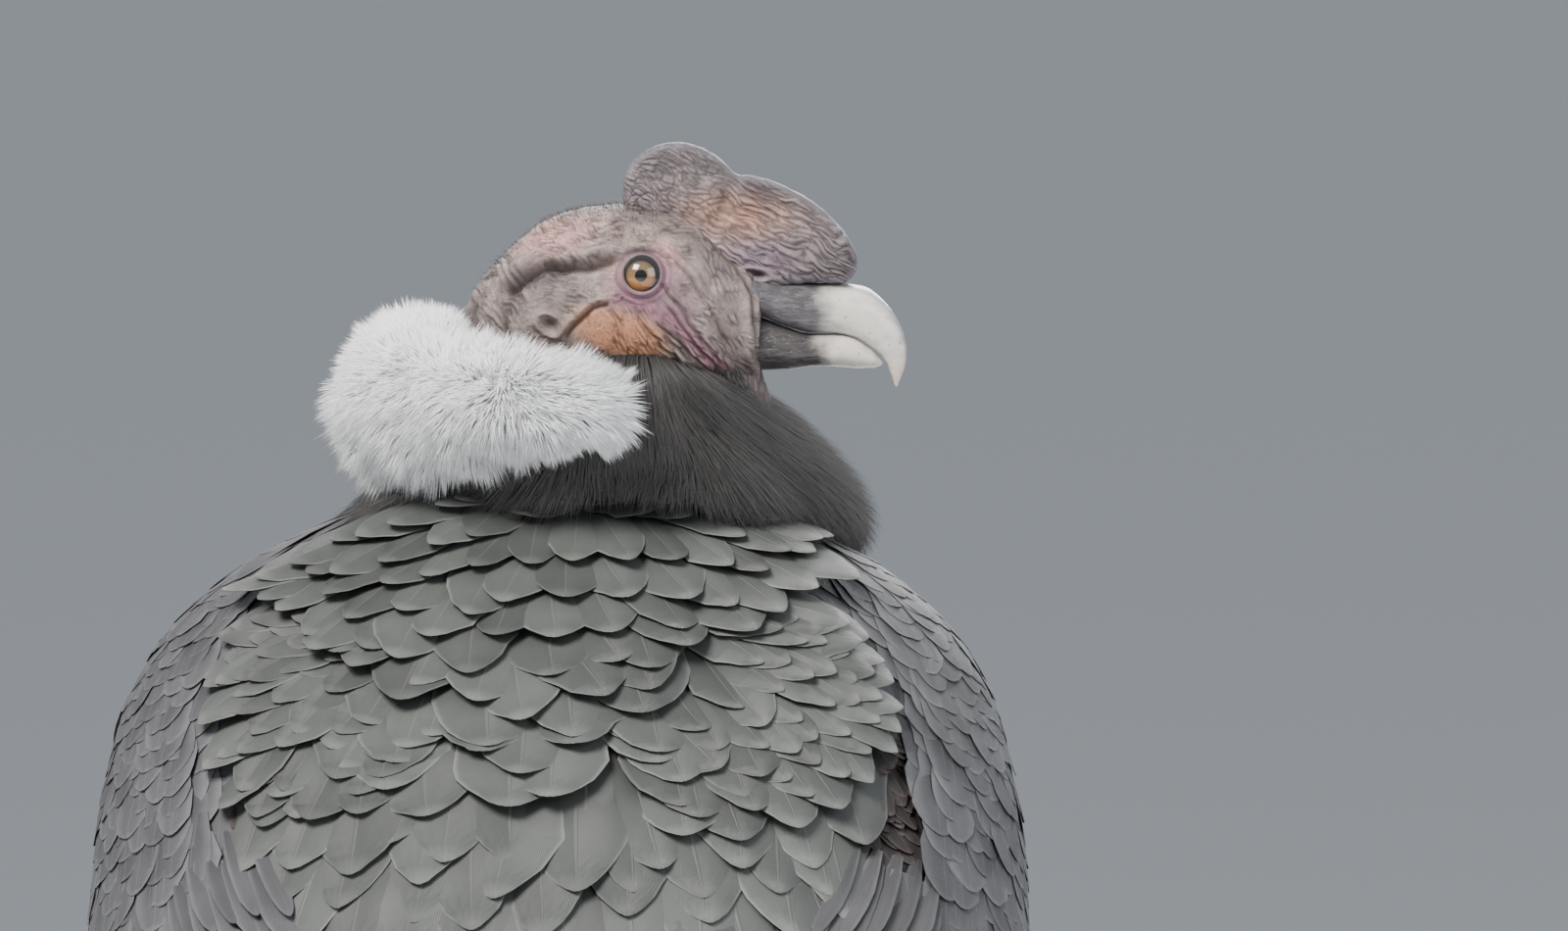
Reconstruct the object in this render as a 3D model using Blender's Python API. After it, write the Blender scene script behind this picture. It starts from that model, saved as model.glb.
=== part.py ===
"""Andean condor, an adult male, standing with its head turned to its right.

Metres, +Z up. The bird faces +Y, its right is +X, and its feet rest on z = 0 under the middle of the model.
"""
import math
import random

import bmesh
import bpy
import numpy as np

GAP = 0.0003            # left between two nodes that touch
MERGE = 0.00002         # points of one node closer than this become one
SEED = 27

# The axis of the body, from the base of the neck to the tip of the tail: s, then y and z there.
AXIS = [
    (-0.050, 0.207, 0.845),
    (0.000, 0.185, 0.800),
    (0.120, 0.130, 0.695),
    (0.240, 0.065, 0.590),
    (0.360, 0.000, 0.487),
    (0.480, -0.068, 0.388),
    (0.660, -0.162, 0.235),
    (0.840, -0.245, 0.076),
    (0.900, -0.271, 0.022),
]

# The trunk without its wings: s, half width, depth to the back, depth to the breast.
TRUNK = [
    (-0.034, 0.040, 0.030, 0.032),
    (-0.020, 0.066, 0.042, 0.056),
    (0.000, 0.088, 0.052, 0.078),
    (0.060, 0.116, 0.076, 0.112),
    (0.120, 0.130, 0.090, 0.133),
    (0.200, 0.137, 0.097, 0.142),
    (0.280, 0.133, 0.094, 0.132),
    (0.360, 0.112, 0.081, 0.108),
    (0.420, 0.086, 0.063, 0.080),
    (0.470, 0.058, 0.040, 0.050),
    (0.500, 0.034, 0.022, 0.026),
]

# The bird as its feathers leave it, wings folded: s, half width, depth to the back, depth to the breast.
DRESSED = [
    (-0.036, 0.064, 0.048, 0.050),
    (-0.020, 0.104, 0.064, 0.070),
    (0.000, 0.137, 0.076, 0.090),
    (0.030, 0.163, 0.089, 0.108),
    (0.060, 0.175, 0.100, 0.124),
    (0.120, 0.184, 0.115, 0.150),
    (0.200, 0.186, 0.123, 0.158),
    (0.280, 0.180, 0.121, 0.148),
    (0.360, 0.163, 0.110, 0.124),
    (0.480, 0.122, 0.080, 0.078),
    (0.660, 0.080, 0.048, 0.040),
    (0.760, 0.062, 0.034, 0.026),
    (0.860, 0.048, 0.024, 0.018),
]

# How far round from the spine, in degrees, each part reaches: s, then the angle.
MANTLE_EDGE = [(-0.030, 62), (0.000, 54), (0.040, 49), (0.100, 50), (0.160, 46), (0.240, 35), (0.310, 23),
               (0.360, 16), (0.420, 12)]
WING_BACK = [(-0.030, 46), (0.060, 34), (0.200, 20), (0.360, 6), (0.480, 6), (0.660, 8), (0.860, 14)]
WING_FRONT = [(-0.030, 84), (0.030, 100), (0.100, 114), (0.200, 118), (0.300, 113), (0.400, 105), (0.500, 97),
              (0.660, 84), (0.800, 66), (0.860, 36)]
WING_DEEP = [(-0.030, 0.021), (0.100, 0.060), (0.340, 0.056), (0.430, 0.032), (0.530, 0.014)]
# How deep the arm of the wing lies under the tips of its feathers.
WING_SINK = [(-0.030, 0.002), (0.140, 0.003), (0.240, 0.006), (0.340, 0.009), (0.450, 0.012), (0.530, 0.014)]

# The flight feathers and their coverts, from the back of the wing to its lower edge. First and last of a tier:
# s at the root, angle at the root, s at the tip, angle at the tip. Then count, width, depths of root and tip.
WING_TIERS = [
    ((0.170, 61, 0.335, 46), (0.190, 104, 0.345, 101), 5, 0.053, 0.0090, 0.0030),
    ((0.300, 38, 0.510, 12), (0.330, 100, 0.600, 78), 6, 0.058, 0.0150, 0.0045),
    ((0.425, 30, 0.730, 12), (0.425, 80, 0.860, 48), 5, 0.042, 0.0210, 0.0050),
]
FLIGHT_THICK = 0.0018

# The cape's rows of feathers: s of the roots, and how long, wide and deep they are.
MANTLE_ROWS = (-0.020, 0.030, 0.082, 0.136, 0.192, 0.250, 0.308)
MANTLE_LONG = 0.094
MANTLE_WIDE = 0.058
MANTLE_ROOT = 0.0125
MANTLE_TIP = 0.0010
MANTLE_CORE = 0.0085
BACK_THICK = 0.0016

# The head, measured from the middle of the right eye: the eye's place in the model, and millimetres from it.
EYE = np.array((0.032, 0.165, 0.929))
MM = 0.001
EYE_OUT = 26.0          # mm from the middle plane of the head to the centre of an eyeball
EYE_RADIUS = 8.6
LID_RADIUS = 8.4
LID_THICK = 1.7

# Folds of skin on each side of the head: radius, then points along the fold.
SKIN_FOLDS = [
    (3.0, [(-6, 8.5), (-17, 6.5), (-26, 2.5), (-36, 4.5), (-46, -1)]),
    (2.2, [(24, 10), (34, 2), (41, -5), (43, -14), (43, -24), (43, -34)]),
]
EAR_AT = (-35.7, -19.5)
EAR_SIZE = (5.4, 3.6)
EAR_TILT = -28
NOSTRIL_AT = (44.5, 9.8, -0.6)
GAPE_LINE = [(41, -14.0), (45, -16.0), (50, -17.6), (56, -21.0)]
# The skin of the throat: x, z, half length and half width of its sections.
THROAT = [(33, -30, 15, 13), (35, -42, 16, 14), (37, -52, 14.5, 13), (35, -62, 17, 15), (32, -72, 19, 18)]

# The skull and its skin: x, top, bottom, half width.
SKULL = [
    (-70, -16, -44, 15),
    (-66, -7, -50, 22),
    (-58, 3, -53, 27),
    (-48, 13, -52, 29.5),
    (-36, 21.5, -49, 31),
    (-20, 26, -45, 32),
    (-5, 27, -42, 31.5),
    (10, 24, -41, 29.5),
    (24, 17, -42, 26),
    (36, 8, -43, 21.5),
    (45, 1, -42, 17),
    (50, -5, -38, 12),
]

# The fleshy comb: points round its outline, and the line that its thickness is greatest on.
COMB_OUTLINE = [
    (-5, 22), (-7.5, 30), (-6.5, 38.5), (-2.5, 44.8), (5, 49.8), (14.4, 51.4), (24, 49.2), (31.5, 44.6),
    (37.2, 39.2), (43, 38.6), (52.4, 36), (63.8, 30.4), (73.3, 23.4), (80.8, 15), (85, 6.6), (84.6, 0),
    (79.6, -4.4), (70, -4), (60, -5), (50, -7), (38, -4), (26, 2), (14, 10), (4, 16),
]
COMB_SPINE = [(4, 34), (16, 36), (28, 30), (40, 22), (54, 16), (66, 11), (74, 7)]
COMB_THIN = 6.2         # half thickness near the top
COMB_THICK = 12.5       # half thickness where it meets the bill and brow

# The bill as ribs from the ridge to the cutting edge: x and z of each end, and half width.
BILL_UPPER = [
    (38, 0, 38, -15, 13.0),
    (47, -1.5, 47, -17.3, 13.4),
    (57, -3.6, 57, -21.3, 12.8),
    (67, -4.2, 67, -23.8, 12.0),
    (77, -4.4, 76, -23.9, 11.2),
    (86.5, -5.2, 83, -25.0, 10.3),
    (94, -9.6, 88, -27.6, 9.0),
    (99.8, -16.4, 92, -30.4, 7.4),
    (103.5, -24.2, 95, -33.2, 5.6),
    (104.8, -31.4, 97, -36.4, 3.9),
    (103.8, -38.0, 98.6, -40.6, 2.3),
]
BILL_UPPER_TIP = (100.6, -46.0)
BILL_LOWER = [
    (38, -15.4, 38, -38, 12.4),
    (47, -17.7, 47, -38.8, 12.8),
    (57, -21.7, 58, -38.4, 12.0),
    (67, -24.2, 68, -37.4, 11.0),
    (76, -24.3, 77, -37.3, 10.0),
    (83, -25.5, 85, -37.9, 8.8),
    (87.6, -28.2, 90.5, -37.8, 7.2),
    (91.4, -31.2, 94.2, -37.0, 4.8),
]
BILL_LOWER_TIP = (94.6, -35.0)

# The neck: x, y, z and radius from the shoulders to the back of the head.
NECK = [
    (0.000, 0.190, 0.785, 0.058),
    (-0.004, 0.184, 0.825, 0.047),
    (-0.012, 0.172, 0.865, 0.037),
    (-0.012, 0.165, 0.890, 0.034),
    (0.000, 0.165, 0.912, 0.028),
]

# The dark frill round the base of the neck, which swells to the bird's right:
# z, x and y of its middle, half width, half depth.
FRILL = [
    (0.782, 0.000, 0.190, 0.080, 0.060),
    (0.800, 0.006, 0.194, 0.092, 0.066),
    (0.820, 0.017, 0.196, 0.101, 0.076),
    (0.838, 0.021, 0.190, 0.095, 0.084),
    (0.856, 0.023, 0.188, 0.081, 0.076),
    (0.872, 0.022, 0.180, 0.064, 0.062),
    (0.886, 0.024, 0.172, 0.046, 0.044),
    (0.896, 0.026, 0.168, 0.028, 0.028),
]

# The white ruff, an open ring round the neck, thickest behind: turn from the back, drop, half height and width.
RUFF_MIDDLE = (0.008, 0.165, 0.880)
RUFF_ACROSS = 0.064
RUFF_ALONG = 0.062
RUFF_END = 104
RUFF = [
    (-RUFF_END, 0.005, 0.011, 0.012),
    (-88, 0.005, 0.020, 0.020),
    (-60, 0.001, 0.026, 0.026),
    (-25, 0.001, 0.038, 0.035),
    (0, 0.001, 0.041, 0.038),
    (25, 0.001, 0.038, 0.035),
    (60, 0.001, 0.026, 0.026),
    (88, 0.005, 0.020, 0.020),
    (RUFF_END, 0.005, 0.011, 0.012),
]

# The ruff's core as a share of its whole, its rows of locks (angle round the section, count) and their width.
RUFF_CORE = 0.55
RUFF_ROWS = ((-74, 8), (-28, 9), (18, 9), (64, 8))
RUFF_LOCK = 0.052

# The core of the frill lies this far inside its outline. Its rows of locks: height of the tips, count.
FRILL_CORE = 0.014
FRILL_ROWS = ((0.804, 9), (0.838, 8))
FRILL_LOCK = 0.076
FRILL_FRONT = 0.018     # how much lower the locks hang over the breast

# The root of the tail: s, half width, half thickness. Then its feathers and the coverts over them.
TAIL = [(0.440, 0.034, 0.018), (0.480, 0.036, 0.016), (0.520, 0.034, 0.012), (0.560, 0.026, 0.006)]
TAIL_FEATHERS = 12
TAIL_ROOT_S = 0.495
TAIL_TIP_S = 0.838
TAIL_SPREAD = 0.0104      # sideways from one tip to the next
TAIL_WIDE = 0.044
TAIL_STEP = 0.0022        # depth from one feather to the next
TAIL_COVERTS = 3

# One leg, its x for the right side: x, y, z, radius.
THIGH = [
    (0.058, 0.062, 0.485, 0.026),
    (0.062, 0.064, 0.455, 0.050),
    (0.068, 0.056, 0.380, 0.061),
    (0.076, 0.028, 0.290, 0.048),
    (0.083, 0.006, 0.220, 0.033),
    (0.088, -0.004, 0.166, 0.021),
]
SHANK = [
    (0.087, -0.004, 0.185, 0.0140),
    (0.088, -0.006, 0.162, 0.0145),
    (0.088, -0.007, 0.145, 0.0150),
    (0.089, 0.002, 0.100, 0.0110),
    (0.090, 0.012, 0.055, 0.0110),
    (0.091, 0.020, 0.026, 0.0140),
]
FOOT_AT = (0.091, 0.022)
FOOT_HIGH = 0.020
# The toes: name, turn from straight ahead, length without the claw, radius at the root and at the claw.
TOES = [
    ("inner", 28, 0.070, 0.0105, 0.0080),
    ("middle", -2, 0.105, 0.0115, 0.0080),
    ("outer", -32, 0.074, 0.0105, 0.0078),
    ("hind", 176, 0.042, 0.0090, 0.0070),
]
CLAW_LONG = 0.021

COLOURS = {
    "plumage_black": ((0.030, 0.032, 0.034), 0.62),
    "feather_slate": ((0.085, 0.095, 0.098), 0.50),
    "wing_slate": ((0.060, 0.064, 0.070), 0.50),
    "neck_black": ((0.022, 0.023, 0.025), 0.75),
    "ruff_white": ((0.880, 0.885, 0.890), 0.85),
    "head_skin": ((0.250, 0.190, 0.180), 0.60),
    "comb_skin": ((0.160, 0.125, 0.130), 0.55),
    "bill_ivory": ((0.620, 0.590, 0.540), 0.35),
    "bill_grey": ((0.330, 0.320, 0.310), 0.35),
    "eye_amber": ((0.450, 0.210, 0.040), 0.08),
    "leg_scales": ((0.170, 0.165, 0.160), 0.60),
    "claw_horn": ((0.035, 0.032, 0.030), 0.35),
}


class Track:
    """Smooth values between stations: a monotone cubic through each column of a table."""

    def __init__(self, stations):
        data = np.array(stations, float)
        self.x = data[:, 0]
        self.v = data[:, 1:]
        step = np.diff(self.x)[:, None]
        rise = np.diff(self.v, axis=0) / step
        slope = np.zeros_like(self.v)
        slope[0] = rise[0]
        slope[-1] = rise[-1]
        before, after = rise[:-1], rise[1:]
        same = before * after > 0
        near = 2 * step[1:] + step[:-1]
        far = step[1:] + 2 * step[:-1]
        safe_before = np.where(same, before, 1.0)
        safe_after = np.where(same, after, 1.0)
        slope[1:-1] = np.where(same, (near + far) / (near / safe_before + far / safe_after), 0.0)
        self.slope = slope

    def __call__(self, x):
        x = min(max(x, self.x[0]), self.x[-1])
        i = min(int(np.searchsorted(self.x, x, side="right")) - 1, len(self.x) - 2)
        h = self.x[i + 1] - self.x[i]
        t = (x - self.x[i]) / h
        return (
            self.v[i] * (1 + 2 * t) * (1 - t) ** 2
            + self.slope[i] * h * t * (1 - t) ** 2
            + self.v[i + 1] * t * t * (3 - 2 * t)
            + self.slope[i + 1] * h * t * t * (t - 1)
        )


axis_track = Track(AXIS)
trunk_track = Track(TRUNK)
dressed_track = Track(DRESSED)
mantle_edge = Track(MANTLE_EDGE)
wing_back = Track(WING_BACK)
wing_front = Track(WING_FRONT)
wing_deep = Track(WING_DEEP)
wing_core = Track(WING_SINK)


def clear_scene():
    """Removes every object that the file starts with."""
    for obj in list(bpy.data.objects):
        bpy.data.objects.remove(obj)


def material(name):
    """The Principled material of that name, made once."""
    found = bpy.data.materials.get(name)
    if found:
        return found
    colour, roughness = COLOURS[name]
    made = bpy.data.materials.new(name)
    made.use_nodes = True
    shader = made.node_tree.nodes["Principled BSDF"]
    shader.inputs["Base Color"].default_value = (*colour, 1.0)
    shader.inputs["Roughness"].default_value = roughness
    shader.inputs["Metallic"].default_value = 0.0
    return made


def new_mesh(name, points, faces):
    """A mesh of these points and faces, its faces turned outwards."""
    mesh = bpy.data.meshes.new(name)
    mesh.from_pydata([tuple(p) for p in points], [], faces)
    body = bmesh.new()
    body.from_mesh(mesh)
    bmesh.ops.recalc_face_normals(body, faces=body.faces)
    body.to_mesh(mesh)
    body.free()
    return mesh


def add_object(name, shape, slot=None, collection=None):
    """An object made of (points, faces), in the scene or in a collection."""
    obj = bpy.data.objects.new(name, new_mesh(name, *shape))
    (collection or bpy.context.scene.collection).objects.link(obj)
    if slot:
        obj.data.materials.append(material(slot))
    return obj


def loft(rings, start=None, end=None):
    """Points and triangles of a closed skin over rings of equal count, closed by a point at each end."""
    rings = [np.array(r, float) for r in rings]
    count = len(rings[0])
    points = [p for ring in rings for p in ring]
    faces = []
    for i in range(len(rings) - 1):
        for j in range(count):
            a, b = i * count + j, i * count + (j + 1) % count
            c, d = a + count, b + count
            faces += [(a, b, d), (a, d, c)]
    for ring_number, given in ((0, start), (len(rings) - 1, end)):
        middle = rings[ring_number].mean(0) if given is None else np.array(given, float)
        centre = len(points)
        points.append(middle)
        first = ring_number * count
        faces += [(first + j, first + (j + 1) % count, centre) for j in range(count)]
    return points, faces


def evaluated_mesh(obj):
    """The object's mesh with its modifiers applied."""
    graph = bpy.context.evaluated_depsgraph_get()
    return bpy.data.meshes.new_from_object(obj.evaluated_get(graph))


def combine(obj, shapes, operation, solver="EXACT"):
    """Joins closed shapes to obj, or cuts them from it, with one Boolean on a collection of them."""
    shelf = bpy.data.collections.new(obj.name + "_pieces")
    bpy.context.scene.collection.children.link(shelf)
    for number, shape in enumerate(shapes):
        add_object(f"{obj.name}_piece_{number}", shape, collection=shelf)
    boolean = obj.modifiers.new("combine", "BOOLEAN")
    boolean.operation = operation
    boolean.operand_type = "COLLECTION"
    boolean.collection = shelf
    boolean.solver = solver
    mesh = evaluated_mesh(obj)
    obj.modifiers.clear()
    obj.data = mesh
    for piece in list(shelf.objects):
        bpy.data.objects.remove(piece)
    bpy.data.collections.remove(shelf)
    keep_largest(obj.data)


def heal(body):
    """Joins points closer than MERGE, then parts edges that four faces share and drops doubled faces."""
    bmesh.ops.remove_doubles(body, verts=body.verts, dist=MERGE)
    for _ in range(12):
        seen = {}
        for face in body.faces:
            seen.setdefault(frozenset(face.verts), []).append(face)
        fins = [face for faces in seen.values() if len(faces) % 2 == 0 for face in faces]
        bmesh.ops.delete(body, geom=fins, context="FACES")
        shared = [edge for edge in body.edges if len(edge.link_faces) > 2]
        if not shared:
            break
        ends = shared[0].verts
        bmesh.ops.pointmerge(body, verts=list(ends), merge_co=ends[0].co)


def keep_largest(mesh):
    """Keeps the largest closed surface of a mesh and drops loose scraps, also those that only touch it."""
    body = bmesh.new()
    body.from_mesh(mesh)
    bmesh.ops.triangulate(body, faces=body.faces)
    heal(body)
    body.faces.ensure_lookup_table()
    left = set(body.faces)
    groups = []
    while left:
        stack = [left.pop()]
        group = [stack[0]]
        while stack:
            face = stack.pop()
            for edge in face.edges:
                if len(edge.link_faces) != 2:
                    continue
                for other in edge.link_faces:
                    if other in left:
                        left.remove(other)
                        stack.append(other)
                        group.append(other)
        groups.append(group)
    groups.sort(key=lambda group: -sum(face.calc_area() for face in group))
    scraps = [face for group in groups[1:] for face in group]
    bmesh.ops.delete(body, geom=scraps, context="FACES")
    body.to_mesh(mesh)
    body.free()


def body_frame(s):
    """The middle of the body at s, and the direction from there to the back."""
    step = 0.004
    y, z = axis_track(s)
    along = axis_track(s + step) - axis_track(s - step)
    along = along / np.linalg.norm(along)
    return np.array((0.0, y, z)), np.array((0.0, along[1], -along[0]))


def around(track, s, degrees, out=0.0):
    """The point of a body surface at s, this far round from the spine to the right, moved outwards by out."""
    middle, to_back = body_frame(s)
    width, back, front = track(s)
    angle = math.radians(degrees)
    depth = back if math.cos(angle) > 0 else front
    across = np.array((1.0, 0.0, 0.0))
    return middle + across * (width + out) * math.sin(angle) + to_back * (depth + out) * math.cos(angle)


def dressed(s, degrees, out=0.0):
    """A point on the feathered outline of the bird."""
    return around(dressed_track, s, degrees, out)


def dressed_normal(s, degrees):
    """The direction straight out of the feathered outline."""
    step_s, step_a = 0.004, 1.5
    down = dressed(s + step_s, degrees) - dressed(s - step_s, degrees)
    side = dressed(s, degrees + step_a) - dressed(s, degrees - step_a)
    out = np.cross(down, side)
    out /= np.linalg.norm(out)
    middle, _ = body_frame(s)
    return out if np.dot(out, dressed(s, degrees) - middle) > 0 else -out


def trunk_shape(grow=0.0):
    """The trunk: breast, back, belly and flanks."""
    stations = [-0.034, -0.026, -0.010, 0.020, 0.065, 0.120, 0.185, 0.250, 0.315, 0.375, 0.425, 0.465, 0.500]
    sides = 20
    rings = [[around(trunk_track, s, 360 * j / sides, grow) for j in range(sides)] for s in stations]
    top, _ = body_frame(-0.040 - grow)
    bottom, _ = body_frame(0.508 + grow)
    return loft(rings, top, bottom)


def wing_sink(s, degrees):
    """How far the arm of the wing lies under the feathered outline, deeper where the mantle covers it."""
    edge = mantle_edge(s)[0]
    share = min(max((edge + 24 - degrees) / 10, 0.0), 1.0)
    fade = min(max((0.47 - s) / 0.06, 0.0), 1.0)
    return wing_core(s)[0] + 0.0140 * share * share * (3 - 2 * share) * fade


def wing_shape(side, grow=0.0):
    """The arm of the folded wing, side 1 for the right and -1 for the left."""
    stations = [-0.026, -0.012, 0.010, 0.045, 0.090, 0.150, 0.220, 0.300, 0.380, 0.460, 0.530]
    stations[0] -= grow
    stations[-1] += grow
    outer_count, inner_count = 9, 4
    rings = []
    for s in stations:
        spread = math.degrees(grow / dressed_track(s)[0])
        start, stop = wing_back(s)[0] - spread, wing_front(s)[0] + spread
        deep = wing_deep(s)[0]
        round_off = min(0.020, deep * 0.45)
        ring = []
        for j in range(outer_count):
            u = j / (outer_count - 1)
            degrees = start + (stop - start) * u
            edge = max(0.0, (u - 0.80) / 0.20)
            sink = wing_sink(s, degrees) + round_off * (1 - math.sqrt(max(0.0, 1 - edge * edge)))
            ring.append(dressed(s, degrees, grow - sink))
        for j in range(inner_count):
            u = 1 - j / (inner_count - 1)
            degrees = start + (stop - start) * u
            edge = max(0.0, (u - 0.80) / 0.20)
            lift = round_off * (1 - math.sqrt(max(0.0, 1 - edge * edge)))
            ring.append(dressed(s, degrees, -grow - max(deep + wing_sink(s, degrees) - lift, 0.003)))
        ring = np.array(ring)
        ring[:, 0] *= side
        rings.append(ring)
    return loft(rings)


def plate(rings, tip):
    """A closed plate of left edge, ridge, right edge and keel, split into triangles alike on both faces."""
    points = [p for ring in rings for p in ring] + [tip]
    last = len(rings) - 1
    faces = [(0, 1, 2), (0, 2, 3)]
    for i in range(last):
        for j in range(4):
            a, b = 4 * i + j, 4 * i + (j + 1) % 4
            c, d = a + 4, b + 4
            faces += [(a, b, d), (a, d, c)] if j < 2 else [(a, b, c), (b, d, c)]
    for j in range(4):
        faces.append((4 * last + j, 4 * last + (j + 1) % 4, len(points) - 1))
    return points, faces


def vane(start, stop, width, root_lift, tip_lift, thick, roll=0.07):
    """A feather's vane laid on the bird's outline from one place to another, each an s and an angle."""
    rings = []
    for share, wide in ((0.0, 0.50), (0.48, 1.0), (0.86, 0.74), (1.0, 0.0)):
        s, degrees = np.array(start) + (np.array(stop) - np.array(start)) * share
        lift = root_lift + (tip_lift - root_lift) * share ** 0.8
        middle = dressed(s, degrees, lift)
        turn = (stop[1] - start[1]) / (stop[0] - start[0]) * 0.004
        ahead = dressed(s + 0.004, degrees + turn, lift) - dressed(s - 0.004, degrees - turn, lift)
        out = dressed_normal(s, degrees)
        across = np.cross(ahead, out)
        across /= np.linalg.norm(across)
        turned = math.radians(degrees)
        across *= 1 if across[0] * math.cos(turned) - across[2] * math.sin(turned) > 0 else -1
        half = width * wide / 2
        edge = across * half + out * roll * half
        bow = out * half * 0.10
        high = out * thick * (1 - 0.5 * share) / 2
        rings.append([middle - edge - bow, middle + high, middle + edge - bow, middle - high])
    return plate(rings[:-1], (rings[-1][1] + rings[-1][3]) / 2)


def between(first, last, share):
    """The values this far from one list to another."""
    return [a + (b - a) * share for a, b in zip(first, last)]


def wing_vanes(side):
    """The coverts, secondaries and primaries of a folded wing."""
    draw = random.Random(SEED)
    shapes = []
    for first, last, count, width, root, tip in WING_TIERS:
        for i in range(count):
            s0, a0, s1, a1 = between(first, last, i / (count - 1))
            s1 += draw.uniform(-0.004, 0.004)
            width_now = width * draw.uniform(0.95, 1.05)
            shapes.append(mirror(vane((s0, a0), (s1, a1), width_now, -root, -tip, FLIGHT_THICK), side))
    return shapes


def mantle_vanes():
    """The cape of the back and shoulders in rows, each feather over the roots of the next row."""
    draw = random.Random(SEED + 1)
    shapes = []
    for row, s0 in enumerate(MANTLE_ROWS):
        s1 = s0 + MANTLE_LONG
        edge_root, edge_tip = mantle_edge(s0 + 0.02)[0] - 5, mantle_edge(s1)[0]
        reach = math.radians(edge_tip) * dressed_track(s1)[0]
        count = max(2, round(2 * reach / (MANTLE_WIDE * 0.80)))
        for i in range(count):
            u = (2 * i - (count - 1)) / max(count - 1, 1)
            a0 = u * (edge_root - 3) + draw.uniform(-0.8, 0.8)
            a1 = u * (edge_tip + 2) + draw.uniform(-1.5, 1.5)
            start = (s0 + draw.uniform(-0.003, 0.003), a0)
            stop = (s1 + draw.uniform(-0.006, 0.006), a1)
            raised = 0.0010 if abs(u) < 0.01 else 0.0006 * (1 if u > 0 else -1)
            roll = 0.0 if abs(u) < 0.01 else math.copysign(0.07, u)
            width = MANTLE_WIDE * (1 - 0.10 * row / len(MANTLE_ROWS)) * draw.uniform(0.94, 1.06)
            root_out, tip_out = raised - MANTLE_ROOT, raised - MANTLE_TIP
            shapes.append(vane(start, stop, width, root_out, tip_out, BACK_THICK, roll))
    return shapes


def mantle_shape():
    """The core of the cape, in which its feathers are rooted, cut back later by what lies under it."""
    stations = [-0.026, 0.000, 0.050, 0.120, 0.200, 0.290, 0.380]
    outer_count, inner_count = 11, 5
    rings = []
    for s in stations:
        edge = mantle_edge(s)[0]
        outer = [edge * (2 * j / (outer_count - 1) - 1) for j in range(outer_count)]
        inner = [edge * (1 - 2 * j / (inner_count - 1)) for j in range(inner_count)]
        ring = [dressed(s, a, -MANTLE_CORE - 0.004 * (abs(a) / edge) ** 6) for a in outer]
        ring += [dressed(s, a, -0.034 + 0.016 * (abs(a) / edge) ** 2) for a in inner]
        rings.append(ring)
    return loft(rings)


def head_point(x, y, z):
    """A place in the model from millimetres ahead of, left of and above the middle of the eyes."""
    return EYE + np.array((x, y, z)) * MM


def skull_ring(x, grow, sides):
    """One section of the head: narrow at the crown and fullest at the cheek."""
    top, bottom, half = Track(SKULL)(x)
    middle = (top + bottom) / 2
    tall = (top - bottom) / 2
    ring = []
    for j in range(sides):
        angle = 2 * math.pi * j / sides
        up = math.cos(angle)
        out = math.sin(angle)
        full = 1.0 - 0.10 * max(up, 0.0) ** 2
        ring.append(head_point(x, (half * full + grow) * out, middle + (tall + grow) * up))
    return ring


def skull_shape(grow=0.0, sides=20):
    """The head without comb, bill and folds. grow is in millimetres."""
    stations = [-70, -64, -55, -44, -32, -18, -4, 8, 19, 29, 38, 45, 50]
    rings = [skull_ring(x, grow, sides) for x in stations]
    return loft(rings, head_point(-72 - grow, 0, -28), head_point(52 + grow, 0, -21))


def tube(path, radii, sides=10, grow=0.0, floor=None):
    """Points and triangles of a closed tube along a path. floor is the z that its points are lifted to."""
    path = np.array(path, float)
    first, last = path[0] - path[1], path[-1] - path[-2]
    path[0] += first / np.linalg.norm(first) * grow
    path[-1] += last / np.linalg.norm(last) * grow
    rings = []
    for i, place in enumerate(path):
        ahead = path[min(i + 1, len(path) - 1)] - path[max(i - 1, 0)]
        ahead /= np.linalg.norm(ahead)
        guide = np.array((1.0, 0.0, 0.0)) if abs(ahead[2]) > 0.7 else np.array((0.0, 0.0, 1.0))
        side = np.cross(ahead, guide)
        side /= np.linalg.norm(side)
        up = np.cross(side, ahead)
        ring = []
        for j in range(sides):
            angle = 2 * math.pi * (j + 0.5) / sides
            point = place + (side * math.cos(angle) + up * math.sin(angle)) * (radii[i] + grow)
            if floor is not None:
                point[2] = max(point[2], floor)
            ring.append(point)
        rings.append(ring)
    return loft(rings)


def neck_shape(grow=0.0):
    """The bare neck under its frill and ruff."""
    track = Track([(i, *row) for i, row in enumerate(NECK)])
    rows = np.array([track(t) for t in np.linspace(0, len(NECK) - 1, 6)])
    return tube(rows[:, :3], rows[:, 3], sides=12, grow=grow)


def frill_shape(grow=0.0, inside=0.0, sides=16):
    """The plush mass of dark feathers at the foot of the neck, or its core this far inside."""
    track = Track(FRILL)
    rings = []
    for z in np.linspace(FRILL[0][0] - grow, FRILL[-1][0] + grow, 7):
        x, y, width, depth = track(z)
        width, depth = max(width - inside, 0.012), max(depth - inside, 0.012)
        turns = [2 * math.pi * j / sides for j in range(sides)]
        rings.append([(x + (width + grow) * math.cos(t), y + (depth + grow) * math.sin(t), z) for t in turns])
    x, y = FRILL[-1][1:3]
    return loft(rings, None, (x, y, FRILL[-1][0] + 0.004 + grow))


def ruff_frame(degrees):
    """The middle of the ruff's section at this turn from the back, and the way out from the neck."""
    turn = math.radians(degrees)
    out = np.array((-math.cos(turn), math.sin(turn), 0.0))
    drop = Track(RUFF)(degrees)[0]
    x, y, z = RUFF_MIDDLE
    return np.array((x + RUFF_ACROSS * out[0], y + RUFF_ALONG * out[1], z - drop)), out


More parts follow.
